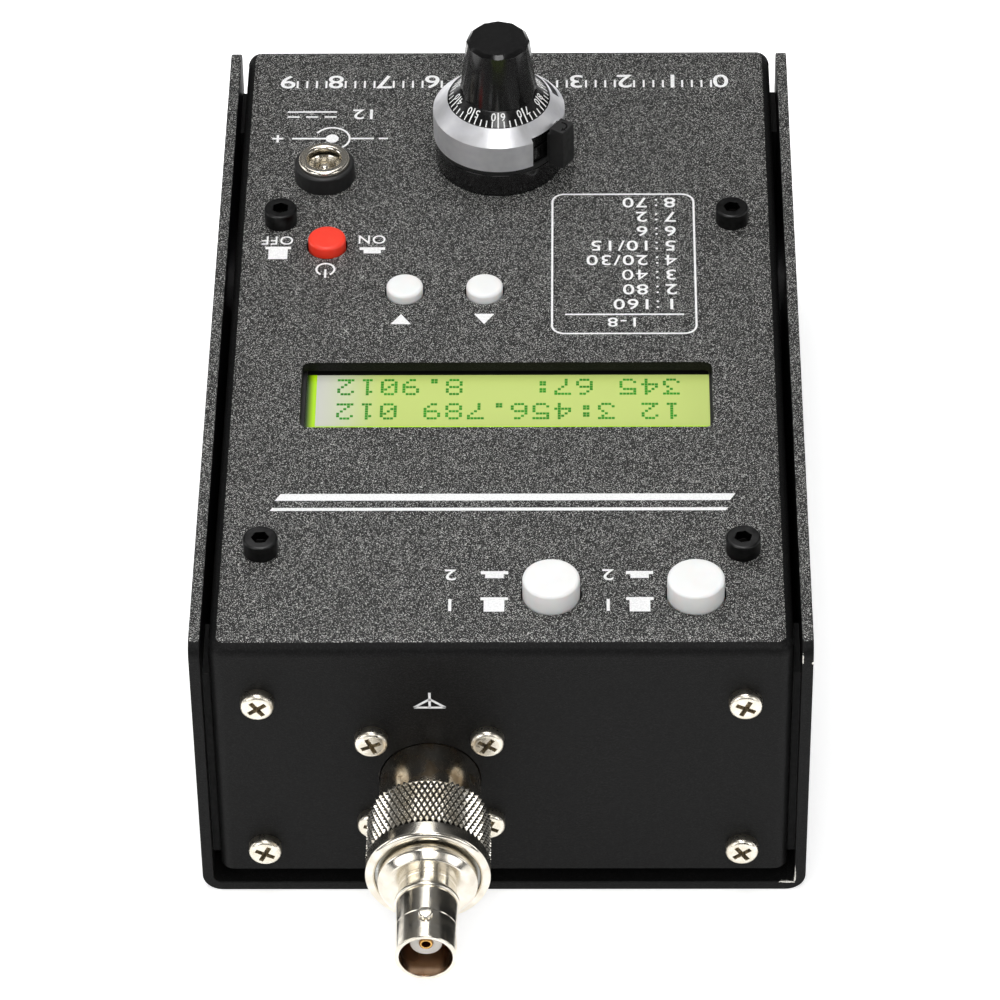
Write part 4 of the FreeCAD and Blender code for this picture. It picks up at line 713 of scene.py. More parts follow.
class Form:
    """A mesh being shaped, in millimetres."""

    def __init__(self) -> None:
        """Start empty."""
        self.bm = bmesh.new()

    @classmethod
    def of_node(cls, node: str) -> "Form":
        """Start from a merged copy of a CAD node.

        Args:
            node: name of the node.

        Returns:
            The copy, its flat faces whole again.
        """
        form = cls()
        form.bm.from_mesh(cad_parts[node].data)
        bmesh.ops.scale(form.bm, vec=(1 / MM,) * 3, verts=form.bm.verts)
        bmesh.ops.remove_doubles(form.bm, verts=form.bm.verts, dist=WELD)
        bmesh.ops.dissolve_limit(
            form.bm, angle_limit=math.radians(FLAT_TURN), verts=form.bm.verts, edges=form.bm.edges
        )
        return form

    def lathe(self, section: Sequence[Point], steps: int = 96) -> "Form":
        """Turn a closed half section about Z.

        Args:
            section: (radius, height) corners in order.
            steps: facets round the turn.

        Returns:
            The form.
        """
        verts = [self.bm.verts.new((radius, 0.0, height)) for radius, height in section]
        edges = [self.bm.edges.new(pair) for pair in zip(verts, verts[1:] + verts[:1])]
        bmesh.ops.spin(
            self.bm,
            geom=verts + edges,
            cent=(0, 0, 0),
            axis=(0, 0, 1),
            angle=math.tau,
            steps=steps,
            use_merge=True,
        )
        return self.heal()

    def prism(self, outline: Sequence[Point], low: float, high: float) -> "Form":
        """Extrude an outline in the XY plane from one level to another.

        Args:
            outline: (x, y) corners in order.
            low: lower level.
            high: upper level.

        Returns:
            The form.
        """
        verts = [self.bm.verts.new((x, y, low)) for x, y in outline]
        self.bm.faces.new(verts)
        return self.thicken(high - low)

    def thicken(self, rise: float) -> "Form":
        """Extrude the flat form upwards.

        Args:
            rise: its thickness.

        Returns:
            The form.
        """
        grown = bmesh.ops.extrude_face_region(self.bm, geom=self.bm.faces[:])["geom"]
        lifted = [item for item in grown if isinstance(item, bmesh.types.BMVert)]
        bmesh.ops.translate(self.bm, vec=(0, 0, rise), verts=lifted)
        return self.heal()

    def sweep(self, inner: float, outer: float, degrees: float) -> "Form":
        """Add a flat ring sector that starts on the X axis.

        Args:
            inner: its inner radius.
            outer: its outer radius.
            degrees: how far it turns about Z.

        Returns:
            The form.
        """
        ends = [self.bm.verts.new((inner, 0, 0)), self.bm.verts.new((outer, 0, 0))]
        bmesh.ops.spin(
            self.bm,
            geom=[*ends, self.bm.edges.new(ends)],
            cent=(0, 0, 0),
            axis=(0, 0, 1),
            angle=math.radians(degrees),
            steps=max(ARC_FACETS, int(abs(degrees) / ARC_STEP)),
        )
        return self

    def heal(self) -> "Form":
        """Merge doubles and point the faces outwards.

        Returns:
            The form.
        """
        bmesh.ops.remove_doubles(self.bm, verts=self.bm.verts, dist=0.0005)
        loose = [edge for edge in self.bm.edges if not edge.link_faces]
        bmesh.ops.delete(self.bm, geom=loose, context="EDGES")
        bmesh.ops.recalc_face_normals(self.bm, faces=self.bm.faces)
        return self

    def bevel(
        self, width: float, segments: int = 2, chosen: Sequence[bmesh.types.BMEdge] | None = None
    ) -> "Form":
        """Round edges.

        Args:
            width: width of the rounding.
            segments: facets across it.
            chosen: the edges; all that turn by more than EDGE_TURN if left out.

        Returns:
            The form.
        """
        if chosen is None:
            solid = [edge for edge in self.bm.edges if len(edge.link_faces) == 2]
            chosen = [edge for edge in solid if edge.calc_face_angle(0) > math.radians(EDGE_TURN)]
        bmesh.ops.bevel(
            self.bm,
            geom=chosen,
            offset=width,
            offset_type="OFFSET",
            segments=segments,
            profile=0.5,
            affect="EDGES",
            material=-1,
            clamp_overlap=True,
        )
        return self

    def round_rings(self, *rings: Ring) -> "Form":
        """Round the circular edges of a form turned about Z.

        Args:
            rings: radius, height and rounding of each edge.

        Returns:
            The form.
        """
        for radius, height, width in rings:
            on_ring = {
                vert
                for vert in self.bm.verts
                if abs(vert.co.z - height) < ON_RING and abs(vert.co.xy.length - radius) < ON_RING
            }
            edges = [edge for edge in self.bm.edges if set(edge.verts) <= on_ring]
            self.bevel(width, RING_SEGMENTS, edges)
        return self

    def moved(self, matrix: Matrix) -> "Form":
        """Move or turn the whole form."""
        bmesh.ops.transform(self.bm, matrix=matrix, verts=self.bm.verts)
        return self

    def span(self) -> tuple[Vector, Vector]:
        """Measure the form.

        Returns:
            Its lowest and highest corners.
        """
        low = Vector([min(vert.co[i] for vert in self.bm.verts) for i in range(3)])
        high = Vector([max(vert.co[i] for vert in self.bm.verts) for i in range(3)])
        return low, high

    def add(self, other: "Form", matrix: Matrix | None = None) -> "Form":
        """Add a copy of another form.

        Args:
            other: what is copied; it stays as it is.
            matrix: where the copy goes.

        Returns:
            The form.
        """
        mesh = bpy.data.meshes.new("copy")
        other.bm.to_mesh(mesh)
        if matrix is not None:
            mesh.transform(matrix)
        self.bm.from_mesh(mesh)
        bpy.data.meshes.remove(mesh)
        return self

    def piece(
        self,
        name: str,
        body: Body,
        slot: Slot,
        finish: Finish,
        replaces: Sequence[str] = (),
        smooth: float = 34.0,
        also: Sequence[tuple[Finish, FaceTest]] = (),
    ) -> bpy.types.Object:
        """Finish the form as a piece of the instrument.

        Args:
            name: name of the piece.
            body: body that it moves with.
            slot: material slot of the record; not used.
            finish: its surface.
            replaces: CAD nodes that it stands for.
            smooth: edges sharper than this angle, in degrees, stay sharp.
            also: other finishes, each with a test of the faces that have it.

        Returns:
            The new object, at the origin, in metres.
        """
        self.bm.normal_update()
        for face in self.bm.faces:
            face.material_index = 0
            for number, (_, test) in enumerate(also, start=1):
                if test(face):
                    face.material_index = number
        bmesh.ops.scale(self.bm, vec=(MM,) * 3, verts=self.bm.verts)
        mesh = bpy.data.meshes.new(name)
        self.bm.to_mesh(mesh)
        self.bm.free()
        mesh.polygons.foreach_set("use_smooth", [True] * len(mesh.polygons))
        mesh.set_sharp_from_angle(angle=math.radians(smooth))
        for surface in (finish, *(other for other, _ in also)):
            mesh.materials.append(surface.material())
        made = put(name, mesh)
        normals = made.modifiers.new("face_weighted_normals", "WEIGHTED_NORMAL")
        normals.keep_sharp = True
        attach(made, body.value)
        if replaces:
            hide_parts(*replaces)
        log.info("%s: %d faces, rides on %s", name, len(mesh.polygons), body.value)
        return made


def rectangle(x0: float, y0: float, x1: float, y1: float) -> list[Point]:
    """Corners of a rectangle, from its lowest, anticlockwise."""
    return [(x0, y0), (x1, y0), (x1, y1), (x0, y1)]


def out_of_front(x: float, z: float) -> Matrix:
    """Turn +Z to point out of the front wall, at a place on its face."""
    return Matrix.Translation((x, -Enclosure.wall, z)) @ Matrix.Rotation(math.radians(90), 4, "X")


def turned(degrees: float) -> Matrix:
    """A turn about Z."""
    return Matrix.Rotation(math.radians(degrees), 4, "Z")


def lettering(text: str, height: float, pitch: float = 1.0, wide: float = 1.0) -> Form:
    """Plain sans figures as a thin raised mesh, centred on the origin.

    Args:
        text: what they say.
        height: height of the figures.
        pitch: spacing of the characters, 1 as the face has it.
        wide: stretch along the line.

    Returns:
        The figures, lying in the XY plane, half a print thick each way.
    """
    curve = bpy.data.curves.new("figures", "FONT")
    curve.body = text
    curve.space_character = pitch
    curve.extrude = 0.5
    # not on a 4, whose eye would close
    curve.offset = 0.0 if "4" in text else HEAVIER
    curve.resolution_u = 5
    holder = put("figures", curve)
    seen = bpy.context.evaluated_depsgraph_get()
    mesh = bpy.data.meshes.new_from_object(holder.evaluated_get(seen))
    form = Form()
    form.bm.from_mesh(mesh)
    bpy.data.objects.remove(holder)
    bpy.data.curves.remove(curve)
    bpy.data.meshes.remove(mesh)
    low, high = form.span()
    scale = height / (high.y - low.y)
    middle = (low + high) / 2
    form.moved(Matrix.Translation((-middle.x, -middle.y, 0)))
    return form.moved(Matrix.Diagonal((scale * wide, scale, 2 * PRINT, 1)))


@dataclass
class Assembly:
    """A sub-assembly of the instrument, with the width of its broken edges."""

    edge: float = 0.12

    def dressed(
        self, node: str, body: Body, slot: Slot, finish: Finish, edge: float | None = None
    ) -> bpy.types.Object:
        """Stand a merged copy with broken edges in for a CAD node.

        Args:
            node: the node.
            body: body that it moves with.
            slot: its material slot.
            finish: its surface.
            edge: width of the broken edges, the assembly's own if left out.

        Returns:
            The new piece.
        """
        form = Form.of_node(node).bevel(self.edge if edge is None else edge)
        return form.piece(f"{node}_dressed", body, slot, finish, (node,))


@dataclass
class Enclosure(Assembly):
    """Folded chassis with the control panel, and the U-shaped cover."""

    edge: float = 0.2
    wall: float = 76.0
    panel: float = 54.0
    level_up: float = 0.9
    near_top: float = 0.2

    def build(self) -> None:
        """Make both sheets; their upper faces carry the coarser coat with painted glints."""
        for node, coat in (("panel_chassis", COAT), ("bottom_cover", COVER_COAT)):
            form = Form.of_node(node).bevel(self.edge)
            # the upper faces get the coat with painted glints
            top = [(TOP_COAT_GLINTS, self.on_top)]
            form.piece(f"{node}_dressed", Body.CASE, Slot.PAINT, coat, (node,), also=top)

    def on_top(self, face: Face) -> bool:
        """Tell whether a face looks up at the panel's level."""
        height = face.calc_center_median().z
        return face.normal.z > self.level_up and height > self.panel - self.near_top


@dataclass
class ScrewSet:
    """Equal screws of one node: the seats of their heads, their axis and finishes."""

    node: str
    seats: Sequence[Place]
    axis: Vector
    slot: Slot
    finish: Finish
    hollow: Finish
    under_head: float = 1.84
    reach: float = 3.4
    length: float = 12.0
    recess: float = 1.7

    def turn(self, form: Form, turns: random.Random) -> Form:
        """Leave each screw at its own angle, as an assembler does.

        Args:
            form: all screws of the node.
            turns: source of the angles.

        Returns:
            The form.
        """
        for seat in self.seats:
            near = []
            for vert in form.bm.verts:
                away = vert.co - Vector(seat)
                if away.length < self.length and away.cross(self.axis).length < self.reach:
                    near.append(vert)
            angle = turns.uniform(0, math.tau)
            spun = Matrix.Rotation(angle, 3, self.axis)
            bmesh.ops.rotate(form.bm, cent=seat, matrix=spun, verts=near)
        return form

    def in_recess(self, face: Face) -> bool:
        """Tell whether a face lies inside the recess of a head.

        Args:
            face: a face of the screws.

        Returns:
            True between the head's seat and its face, close to the axis.
        """
        for seat in self.seats:
            away = face.calc_center_median() - Vector(seat)
            height = abs(away.dot(self.axis))
            outside = away.dot(Vector(seat) - Vector((0, 0, Enclosure.panel / 2))) > 0
            radius = away.cross(self.axis).length
            if outside and height < self.under_head and radius < self.recess:
                return True
        return False

    def build(self, edge: float, turns: random.Random) -> None:
        """Make the screws.

        Args:
            edge: width of their broken edges.
            turns: source of the angles.
        """
        form = self.turn(Form.of_node(self.node), turns).bevel(edge)
        # the recess faces take the darker hollow finish; on the nickel screws it is partly painted
        # shade
        name, hollow = f"{self.node}_dressed", [(self.hollow, self.in_recess)]
        form.piece(name, Body.CASE, self.slot, self.finish, (self.node,), also=hollow)


@dataclass
class Fasteners(Assembly):
    """Screws seen from outside: in both end walls, the jack's flange and the panel."""

    edge: float = 0.07
    end_x: float = 38.1
    end_heights: Point = (10.1, 42.4)
    flange_half: float = 9.13
    panel_x: float = 38.0
    panel_ys: Point = (-54.0, 28.1)

    def build(self) -> None:
        """Make the end, flange and panel screws."""
        turns = random.Random(7)
        sides = (-1, 1)
        wall, panel = Enclosure.wall, Enclosure.panel
        corners = [(x, y) for y in sides for x in sides]
        ends = [(x * self.end_x, y * wall, z) for x, y in corners for z in self.end_heights]
        (middle, level), half = JACK_AXIS, self.flange_half
        flange = [(middle + x * half, -wall, level + z * half) for x in sides for z in sides]
        studs = [(x * self.panel_x, y, panel) for x in sides for y in self.panel_ys]
        along, up = Vector((0, 1, 0)), Vector((0, 0, 1))
        for screws in (
            ScrewSet("end_screws", ends, along, Slot.NICKEL, SCREW_NICKEL, RECESS_NICKEL),
            ScrewSet("flange_screws", flange, along, Slot.NICKEL, SCREW_NICKEL, RECESS_NICKEL),
            ScrewSet("panel_screws", studs, up, Slot.OXIDE, OXIDE, RECESS_OXIDE),
        ):
            screws.build(self.edge, turns)


@dataclass
class AntennaConnector(Assembly):
    """Screwed jack on the front wall, with its coupling nut and bayonet adapter.

    Stations run outwards from the front wall's face.
    """

    edge: float = 0.1
    nut_smooth: float = 24.0
    nut_back: float = 9.5
    nut_front: float = 21.7
    nut_bore: float = 8.0
    nut_lip: float = 8.2
    nut_radius: float = 9.8
    clip_radius: float = 8.75
    clip_back: float = 19.76
    clip_front: float = 20.6
    knurl_from: float = 9.6
    knurl_to: float = 18.7
    knurl_rows: int = 9
    knurl_pitches: int = 62
    knurl_root: float = 9.22
    under_knurl: float = 9.12
    groove: float = 9.6
    groove_back: float = 18.76
    rim_back: float = 18.9
    rim_edge: float = 19.0
    sleeve_bore: float = 3.5
    sleeve_radius: float = 4.0
    sleeve_back: float = 10.0
    core_bore: float = 2.52
    core_back: float = 18.8
    clip_seat: float = 7.0
    shoulder: Drum = (7.8, 18.7, 24.2)
    chamfer: float = 1.1
    neck_radius: float = 4.55
    neck_line: float = 24.6
    collar: Drum = (5.1, 26.9, 27.75)
    shell_radius: float = 4.83
    shell_bore: float = 4.1
    shell_foot: float = 4.68
    shell_rise: Point = (27.95, 28.1)
    shell_floor: float = 27.2
    shell_line: float = 32.87
    shell_front: float = 38.6
    lug_station: float = 34.0
    lug_radius: float = 1.15
    lug_root: float = 4.3
    lug_top: float = 5.5
    stem: Drum = (0.6, 12.0, 20.0)
    contact_radius: float = 1.05
    contact_bore: float = 0.65
    contact_tip: float = 35.8
    contact_depth: float = 4.0
    drill_point: float = 0.4
    line_depth: float = 0.09
    line_wide: float = 0.16

    def out(self, form: Form) -> Form:
        """Stand a form turned about Z out of the front wall."""
        return form.moved(out_of_front(*JACK_AXIS))

    @staticmethod
    def off_axis(face: Face) -> float:
        """Distance of a face's middle from the connector's axis."""
        middle = face.calc_center_median()
        return math.dist((middle.x, middle.z), JACK_AXIS)

    def turned_line(self, radius: float, station: float) -> list[Point]:
        """Give the section of a fine line turned into a cylinder.

        Args:
            radius: radius of the cylinder.
            station: where the line lies.

        Returns:
            The corners of the line.
        """
        half = self.line_wide / 2
        floor = radius - self.line_depth
        return [(radius, station - half), (floor, station), (radius, station + half)]

    def nut(self) -> None:
        """Coupling nut: knurled grip, turned line, polished rim and lip."""
        step = (self.knurl_to - self.knurl_from) / self.knurl_rows
        rows = range(self.knurl_rows + 1)
        section = [
            (self.nut_bore, self.nut_back),
            (self.knurl_root, self.nut_back),
            *((self.knurl_root, self.knurl_from + row * step) for row in rows),
            (self.groove, self.groove_back),
            (self.groove, self.rim_back),
            (self.nut_radius, self.rim_edge),
            (self.nut_radius, self.nut_front),
            (self.nut_lip, self.nut_front),
            (self.nut_lip, self.clip_front),
            (self.clip_radius, self.clip_front),
            (self.clip_radius, self.clip_back),
            (self.nut_bore, self.clip_back),
        ]
        form = Form().lathe(section, steps=2 * self.knurl_pitches)
        rim, lip = (self.nut_radius, self.nut_front, 0.7), (self.nut_lip, self.nut_front, 0.5)
        form.round_rings(rim, lip)
        self.knurl(form, step)
        grip, nodes = [(KNURL_NICKEL, self.on_grip)], ("coupling_nut",)
        self.out(form).piece(
            "coupling_nut_dressed", Body.COUPLING, Slot.NICKEL, NICKEL, nodes, self.nut_smooth, grip
        )

    def on_grip(self, face: Face) -> bool:
        """Tell whether a face of the nut belongs to its knurled grip.

        Args:
            face: a face of the nut.

        Returns:
            True on the grip's skin.
        """
        station = -Enclosure.wall - face.calc_center_median().y
        return self.knurl_from < station < self.knurl_to and self.off_axis(face) > self.under_knurl

    def knurl(self, form: Form, step: float) -> None:
        """Raise every second point of the grip, so that its facets make diamonds.

        Args:
            form: the nut, turned about Z.
            step: length of a row.
        """
        turn = math.pi / self.knurl_pitches
        for vert in form.bm.verts:
            row = (vert.co.z - self.knurl_from) / step
            radius = vert.co.xy.length
            if not -0.1 < row < self.knurl_rows - 0.5 or abs(radius - self.knurl_root) > ON_RING:
                continue
            column = round(math.atan2(vert.co.y, vert.co.x) / turn)
            if (column + round(row)) % 2:
                vert.co.xy *= self.nut_radius / radius
        skin = [
            face
            for face in form.bm.faces
            if self.knurl_from < face.calc_center_median().z < self.knurl_to
            and face.calc_center_median().xy.length > self.under_knurl
        ]
        bmesh.ops.triangulate(form.bm, faces=skin, quad_method="SHORT_EDGE")

    def adapter(self) -> None:
        """Stepped shoulder, neck, collar and bayonet shell with two lugs."""
        wide, back, front = self.shoulder
        collar, collar_back, collar_front = self.collar
        cut = front - self.chamfer
        section = [
            (self.sleeve_bore, self.sleeve_back),
            (self.sleeve_radius, self.sleeve_back),
            (self.sleeve_radius, back),
            (wide, back),
            (wide, self.clip_back),
            (self.clip_seat, self.clip_back),
            (self.clip_seat, self.clip_front),
            (wide, self.clip_front),
            (wide, cut),
            (wide - self.chamfer, front),
            (self.neck_radius, front),
            *self.turned_line(self.neck_radius, self.neck_line),
            (self.neck_radius, collar_back),
            (collar, collar_back),
            (collar, collar_front),
            (self.shell_foot, collar_front),
            (self.shell_foot, self.shell_rise[0]),
            (self.shell_radius, self.shell_rise[1]),
            *self.turned_line(self.shell_radius, self.shell_line),
            (self.shell_radius, self.shell_front),
            (self.shell_bore, self.shell_front),
            (self.shell_bore, self.shell_floor),
            (self.core_bore, self.shell_floor),
            (self.core_bore, self.core_back),
            (self.sleeve_bore, self.core_back),
        ]
        form = Form().lathe(section, steps=128)
        form.round_rings(
            (wide, cut, 0.2),
            (wide - self.chamfer, front, 0.15),
            (collar, collar_back, 0.25),
            (collar, collar_front, 0.25),
            (self.shell_radius, self.shell_front, 0.25),
            (self.shell_bore, self.shell_front, 0.2),
        )
        section = rectangle(0, self.lug_root, self.lug_radius, self.lug_top)
        lug = Form().lathe(section, steps=32)
        lug.round_rings((self.lug_radius, self.lug_top, 0.3))
        for side in (-90, 90):
            place = Matrix.Translation((0, 0, self.lug_station))
            form.add(lug, place @ Matrix.Rotation(math.radians(side), 4, "X"))
        bore, nodes = [(WORN_NICKEL, self.in_bore)], ("adapter_body",)
        self.out(form).piece(
            "adapter_body_dressed", Body.CASE, Slot.NICKEL, NICKEL, nodes, also=bore
        )

    def in_bore(self, face: Face) -> bool:
        """Tell whether a face of the adapter lies inside its shell."""
        return self.off_axis(face) < self.shell_bore + 0.05

    def core(self) -> None:
        """Insulator and gilt socket contact down the shell."""
        self.dressed("adapter_insulator", Body.CASE, Slot.PTFE, PTFE, edge=0.15)
        radius, socket, tip = self.contact_radius, self.contact_bore, self.contact_tip
        stem, back, front = self.stem
        floor = tip - self.contact_depth
        section = [(0, back), (stem, back), (stem, front), (radius, front), (radius, tip)]
        section += [(socket, tip), (socket, floor), (0, floor - self.drill_point)]
        contact = Form().lathe(section, steps=48)
        contact.round_rings((radius, tip, 0.16), (socket, tip, 0.12))
        self.out(contact).piece(
            "adapter_contact_dressed", Body.CASE, Slot.GOLD, GOLD, ("adapter_contact",)
        )

    def build(self) -> None:
        """Make the whole connector."""
        self.dressed("antenna_jack_body", Body.CASE, Slot.NICKEL, DULL_NICKEL)
        self.nut()
        self.adapter()
        self.core()
        self.dressed("coupling_clip", Body.CASE, Slot.NICKEL, ZINC, edge=0.1)


@dataclass
class CountingDial(Assembly):
    """Ten-turn dial: base, brake lever, satin ring, counter, scale and knob."""

    edge: float = 0.15
    x: float = -1.3
    y: float = 45.5
    divisions: int = 100
    graduations: int = 50
    cone_foot: Point = (8.4, 66.8)
    cone_top: Point = (6.47, 68.7)
    nearest: int = 60
    mark_wide: float = 0.2
    short_mark: float = 0.42
    long_mark: float = 0.96
    number_height: float = 1.35
    number_wide: float = 0.9
    number_along: float = 0.66
    digit_spread: float = 6.4
    counter_foot: Point = (10.0, 64.319)
    counter_top: Point = (8.75, 65.503)
    counter_along: float = 0.3
    counter_shown: float = 14.7
    lever_bearing: float = -33.0
    arrow_radius: float = 12.7
    arrow_band: Point = (0.8, 1.15)
    arrow_sweep: float = 138.0
    arrow_head: tuple[Point, ...] = ((0.5, 0), (1.45, 0), (0.975, -0.75))
    arrow_rise: float = 0.05

    def at(self, form: Form) -> Form:
        """Put a form made round the Z axis onto the dial's axis."""
        return form.moved(Matrix.Translation((self.x, self.y, 0)))

    def on_cone(self, foot: Point, top: Point, along: float, bearing: float) -> Matrix:
        """Frame lying on a cone round the dial's axis.

        Args:
            foot: radius and level where the cone begins.
            top: radius and level where it ends.
            along: share of the way up from its foot.
            bearing: angle round the axis in degrees.

        Returns:
            A matrix whose X runs round, Y down the slope and Z out of the cone.
        """
        run = foot[0] - top[0]
        rise = top[1] - foot[1]
        place = (foot[0] - along * run, 0, foot[1] + along * rise)
        slope = Matrix.Rotation(math.atan2(rise, run), 4, "Y")
        return turned(bearing) @ Matrix.Translation(place) @ slope @ turned(-90)

    def scale(self) -> None:
        """Black skirt with filled graduations and a number at each tenth."""
        self.dressed("dial_scale", Body.DIAL, Slot.SCALE, DIAL_BLACK, edge=0.06)
        cone = (self.cone_foot, self.cone_top)
        slant = math.dist(*cone)
        marks = Form()
        half = self.mark_wide / 2
        unit = Form().prism(rectangle(-half, -0.5, half, 0.5), -PRINT, PRINT)
        for count in range(0, self.divisions, self.divisions // self.graduations):
            bearing = -90 + (count - self.nearest) * 360 / self.divisions
            tenth = count % 10 == 0
            reach = self.long_mark if tenth else self.short_mark
            size = Matrix.Diagonal((1.2 if tenth else 1.0, reach * slant, 1, 1))
            marks.add(unit, self.on_cone(*cone, reach / 2 - 0.02, bearing) @ size)
            if tenth:
                for side, digit in zip((self.digit_spread, -self.digit_spread), f"{count:02d}"):
                    figure = lettering(digit, self.number_height, wide=self.number_wide)
                    marks.add(figure, self.on_cone(*cone, self.number_along, bearing + side))
        self.at(marks).piece("dial_scale_marks", Body.DIAL, Slot.SCALE, SCALE_INK)

    def counter(self) -> None:
        """Counter ring under the window slot, with its ten numbers."""
        self.dressed("counter_ring", Body.COUNTER, Slot.SCALE, DIAL_BLACK, edge=0.06)
        marks = Form()
        for count in range(10):
            bearing = self.counter_shown + count * 36
            place = self.on_cone(self.counter_foot, self.counter_top, self.counter_along, bearing)
            marks.add(lettering(str(count), height=1.0, wide=self.number_wide), place)
        self.at(marks).piece("counter_ring_marks", Body.COUNTER, Slot.SCALE, SCALE_INK)

    def lever(self) -> None:
        """Brake ring with its lever, and a curved arrow standing on the top."""
        self.dressed("dial_brake", Body.BRAKE, Slot.BLACK, BLACK_ABS, edge=0.3)
        arrow = Form().sweep(*self.arrow_band, self.arrow_sweep)
        arrow.bm.faces.new([arrow.bm.verts.new((x, y, 0)) for x, y in self.arrow_head])
        arrow.thicken(self.arrow_rise)
        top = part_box("dial_brake")[1][2] / MM
        spot = Matrix.Translation((self.arrow_radius, -0.2, top - 0.02))
        arrow.moved(turned(self.lever_bearing) @ spot @ turned(-20))
        self.at(arrow).piece("brake_arrow", Body.BRAKE, Slot.BLACK, BLACK_GLOSS)

    def build(self) -> None:
        """Make the whole dial."""
        self.dressed("dial_base", Body.CASE, Slot.GLOSS, BLACK_GLOSS, edge=0.12)
        self.lever()
        self.dressed("dial_ring", Body.CASE, Slot.ALUMINIUM, ALUMINIUM, edge=0.12)
        self.counter()
        self.scale()
        self.dressed("dial_knob", Body.DIAL, Slot.GLOSS, BLACK_GLOSS, edge=0.2)


@dataclass
class PowerInlet(Assembly):
    """Barrel socket: satin black collar nut, nickel sleeve and centre pin."""

    x: float = -31.0
    y: float = 40.1
    foot: float = 46.0
    seat: float = 57.3
    top: float = 58.15
    bore: float = 2.85
    barrel: float = 3.35
    lip: float = 4.35
    collar_bore: float = 4.05
    collar: float = 5.1
    threads: int = 8
    thread_top: float = 56.6
    thread_pitch: float = 0.5
    thread_depth: float = 0.15

    def turned_piece(self, node: str, form: Form, slot: Slot, finish: Finish) -> None:
        """Stand a form turned about Z on the socket's axis, in place of a node."""
        form.moved(Matrix.Translation((self.x, self.y, 0)))
        form.piece(f"{node}_dressed", Body.CASE, slot, finish, (node,))

    def build(self) -> None:
        """Make collar, sleeve and pin."""
        section = rectangle(self.collar_bore, Enclosure.panel, self.collar, self.seat)
        collar = Form().lathe(section).round_rings((self.collar, self.seat, 0.45))
        self.turned_piece("power_socket_collar", collar, Slot.BLACK, BLACK_ABS)
        threads = []
        for turn in range(self.threads):
            level = self.thread_top - turn * self.thread_pitch
            root = (self.bore + self.thread_depth, level - self.thread_pitch / 2)
            threads += [(self.bore, level), root]
        section = [
            (self.bore, self.foot),
            (self.barrel, self.foot),
            (self.barrel, self.seat),
            (self.lip, self.seat),
            (self.lip, self.top),
            (self.bore, self.top),
            *threads,
        ]
        sleeve = Form().lathe(section).round_rings(
            (self.lip, self.seat, 0.1), (self.lip, self.top, 0.5), (self.bore, self.top, 0.5)
        )
        self.turned_piece("power_socket_sleeve", sleeve, Slot.NICKEL, NICKEL)
        self.dressed("power_socket_pin", Body.CASE, Slot.NICKEL, NICKEL, edge=0.12)


@dataclass
class PushButtons(Assembly):
    """Power, step and band buttons."""

    edge: float = 0.08

    def build(self) -> None:
        """Make the five caps."""
        for node, body, slot, finish in (
            ("power_cap", Body.POWER, Slot.RED, RED_ABS),
            ("down_button", Body.DOWN, Slot.WHITE, WHITE_ABS),
            ("up_button", Body.UP, Slot.WHITE, WHITE_ABS),
            ("band_left_cap", Body.BAND_LEFT, Slot.WHITE, WHITE_ABS),
            ("band_right_cap", Body.BAND_RIGHT, Slot.WHITE, WHITE_ABS),
        ):
            self.dressed(node, body, slot, finish)


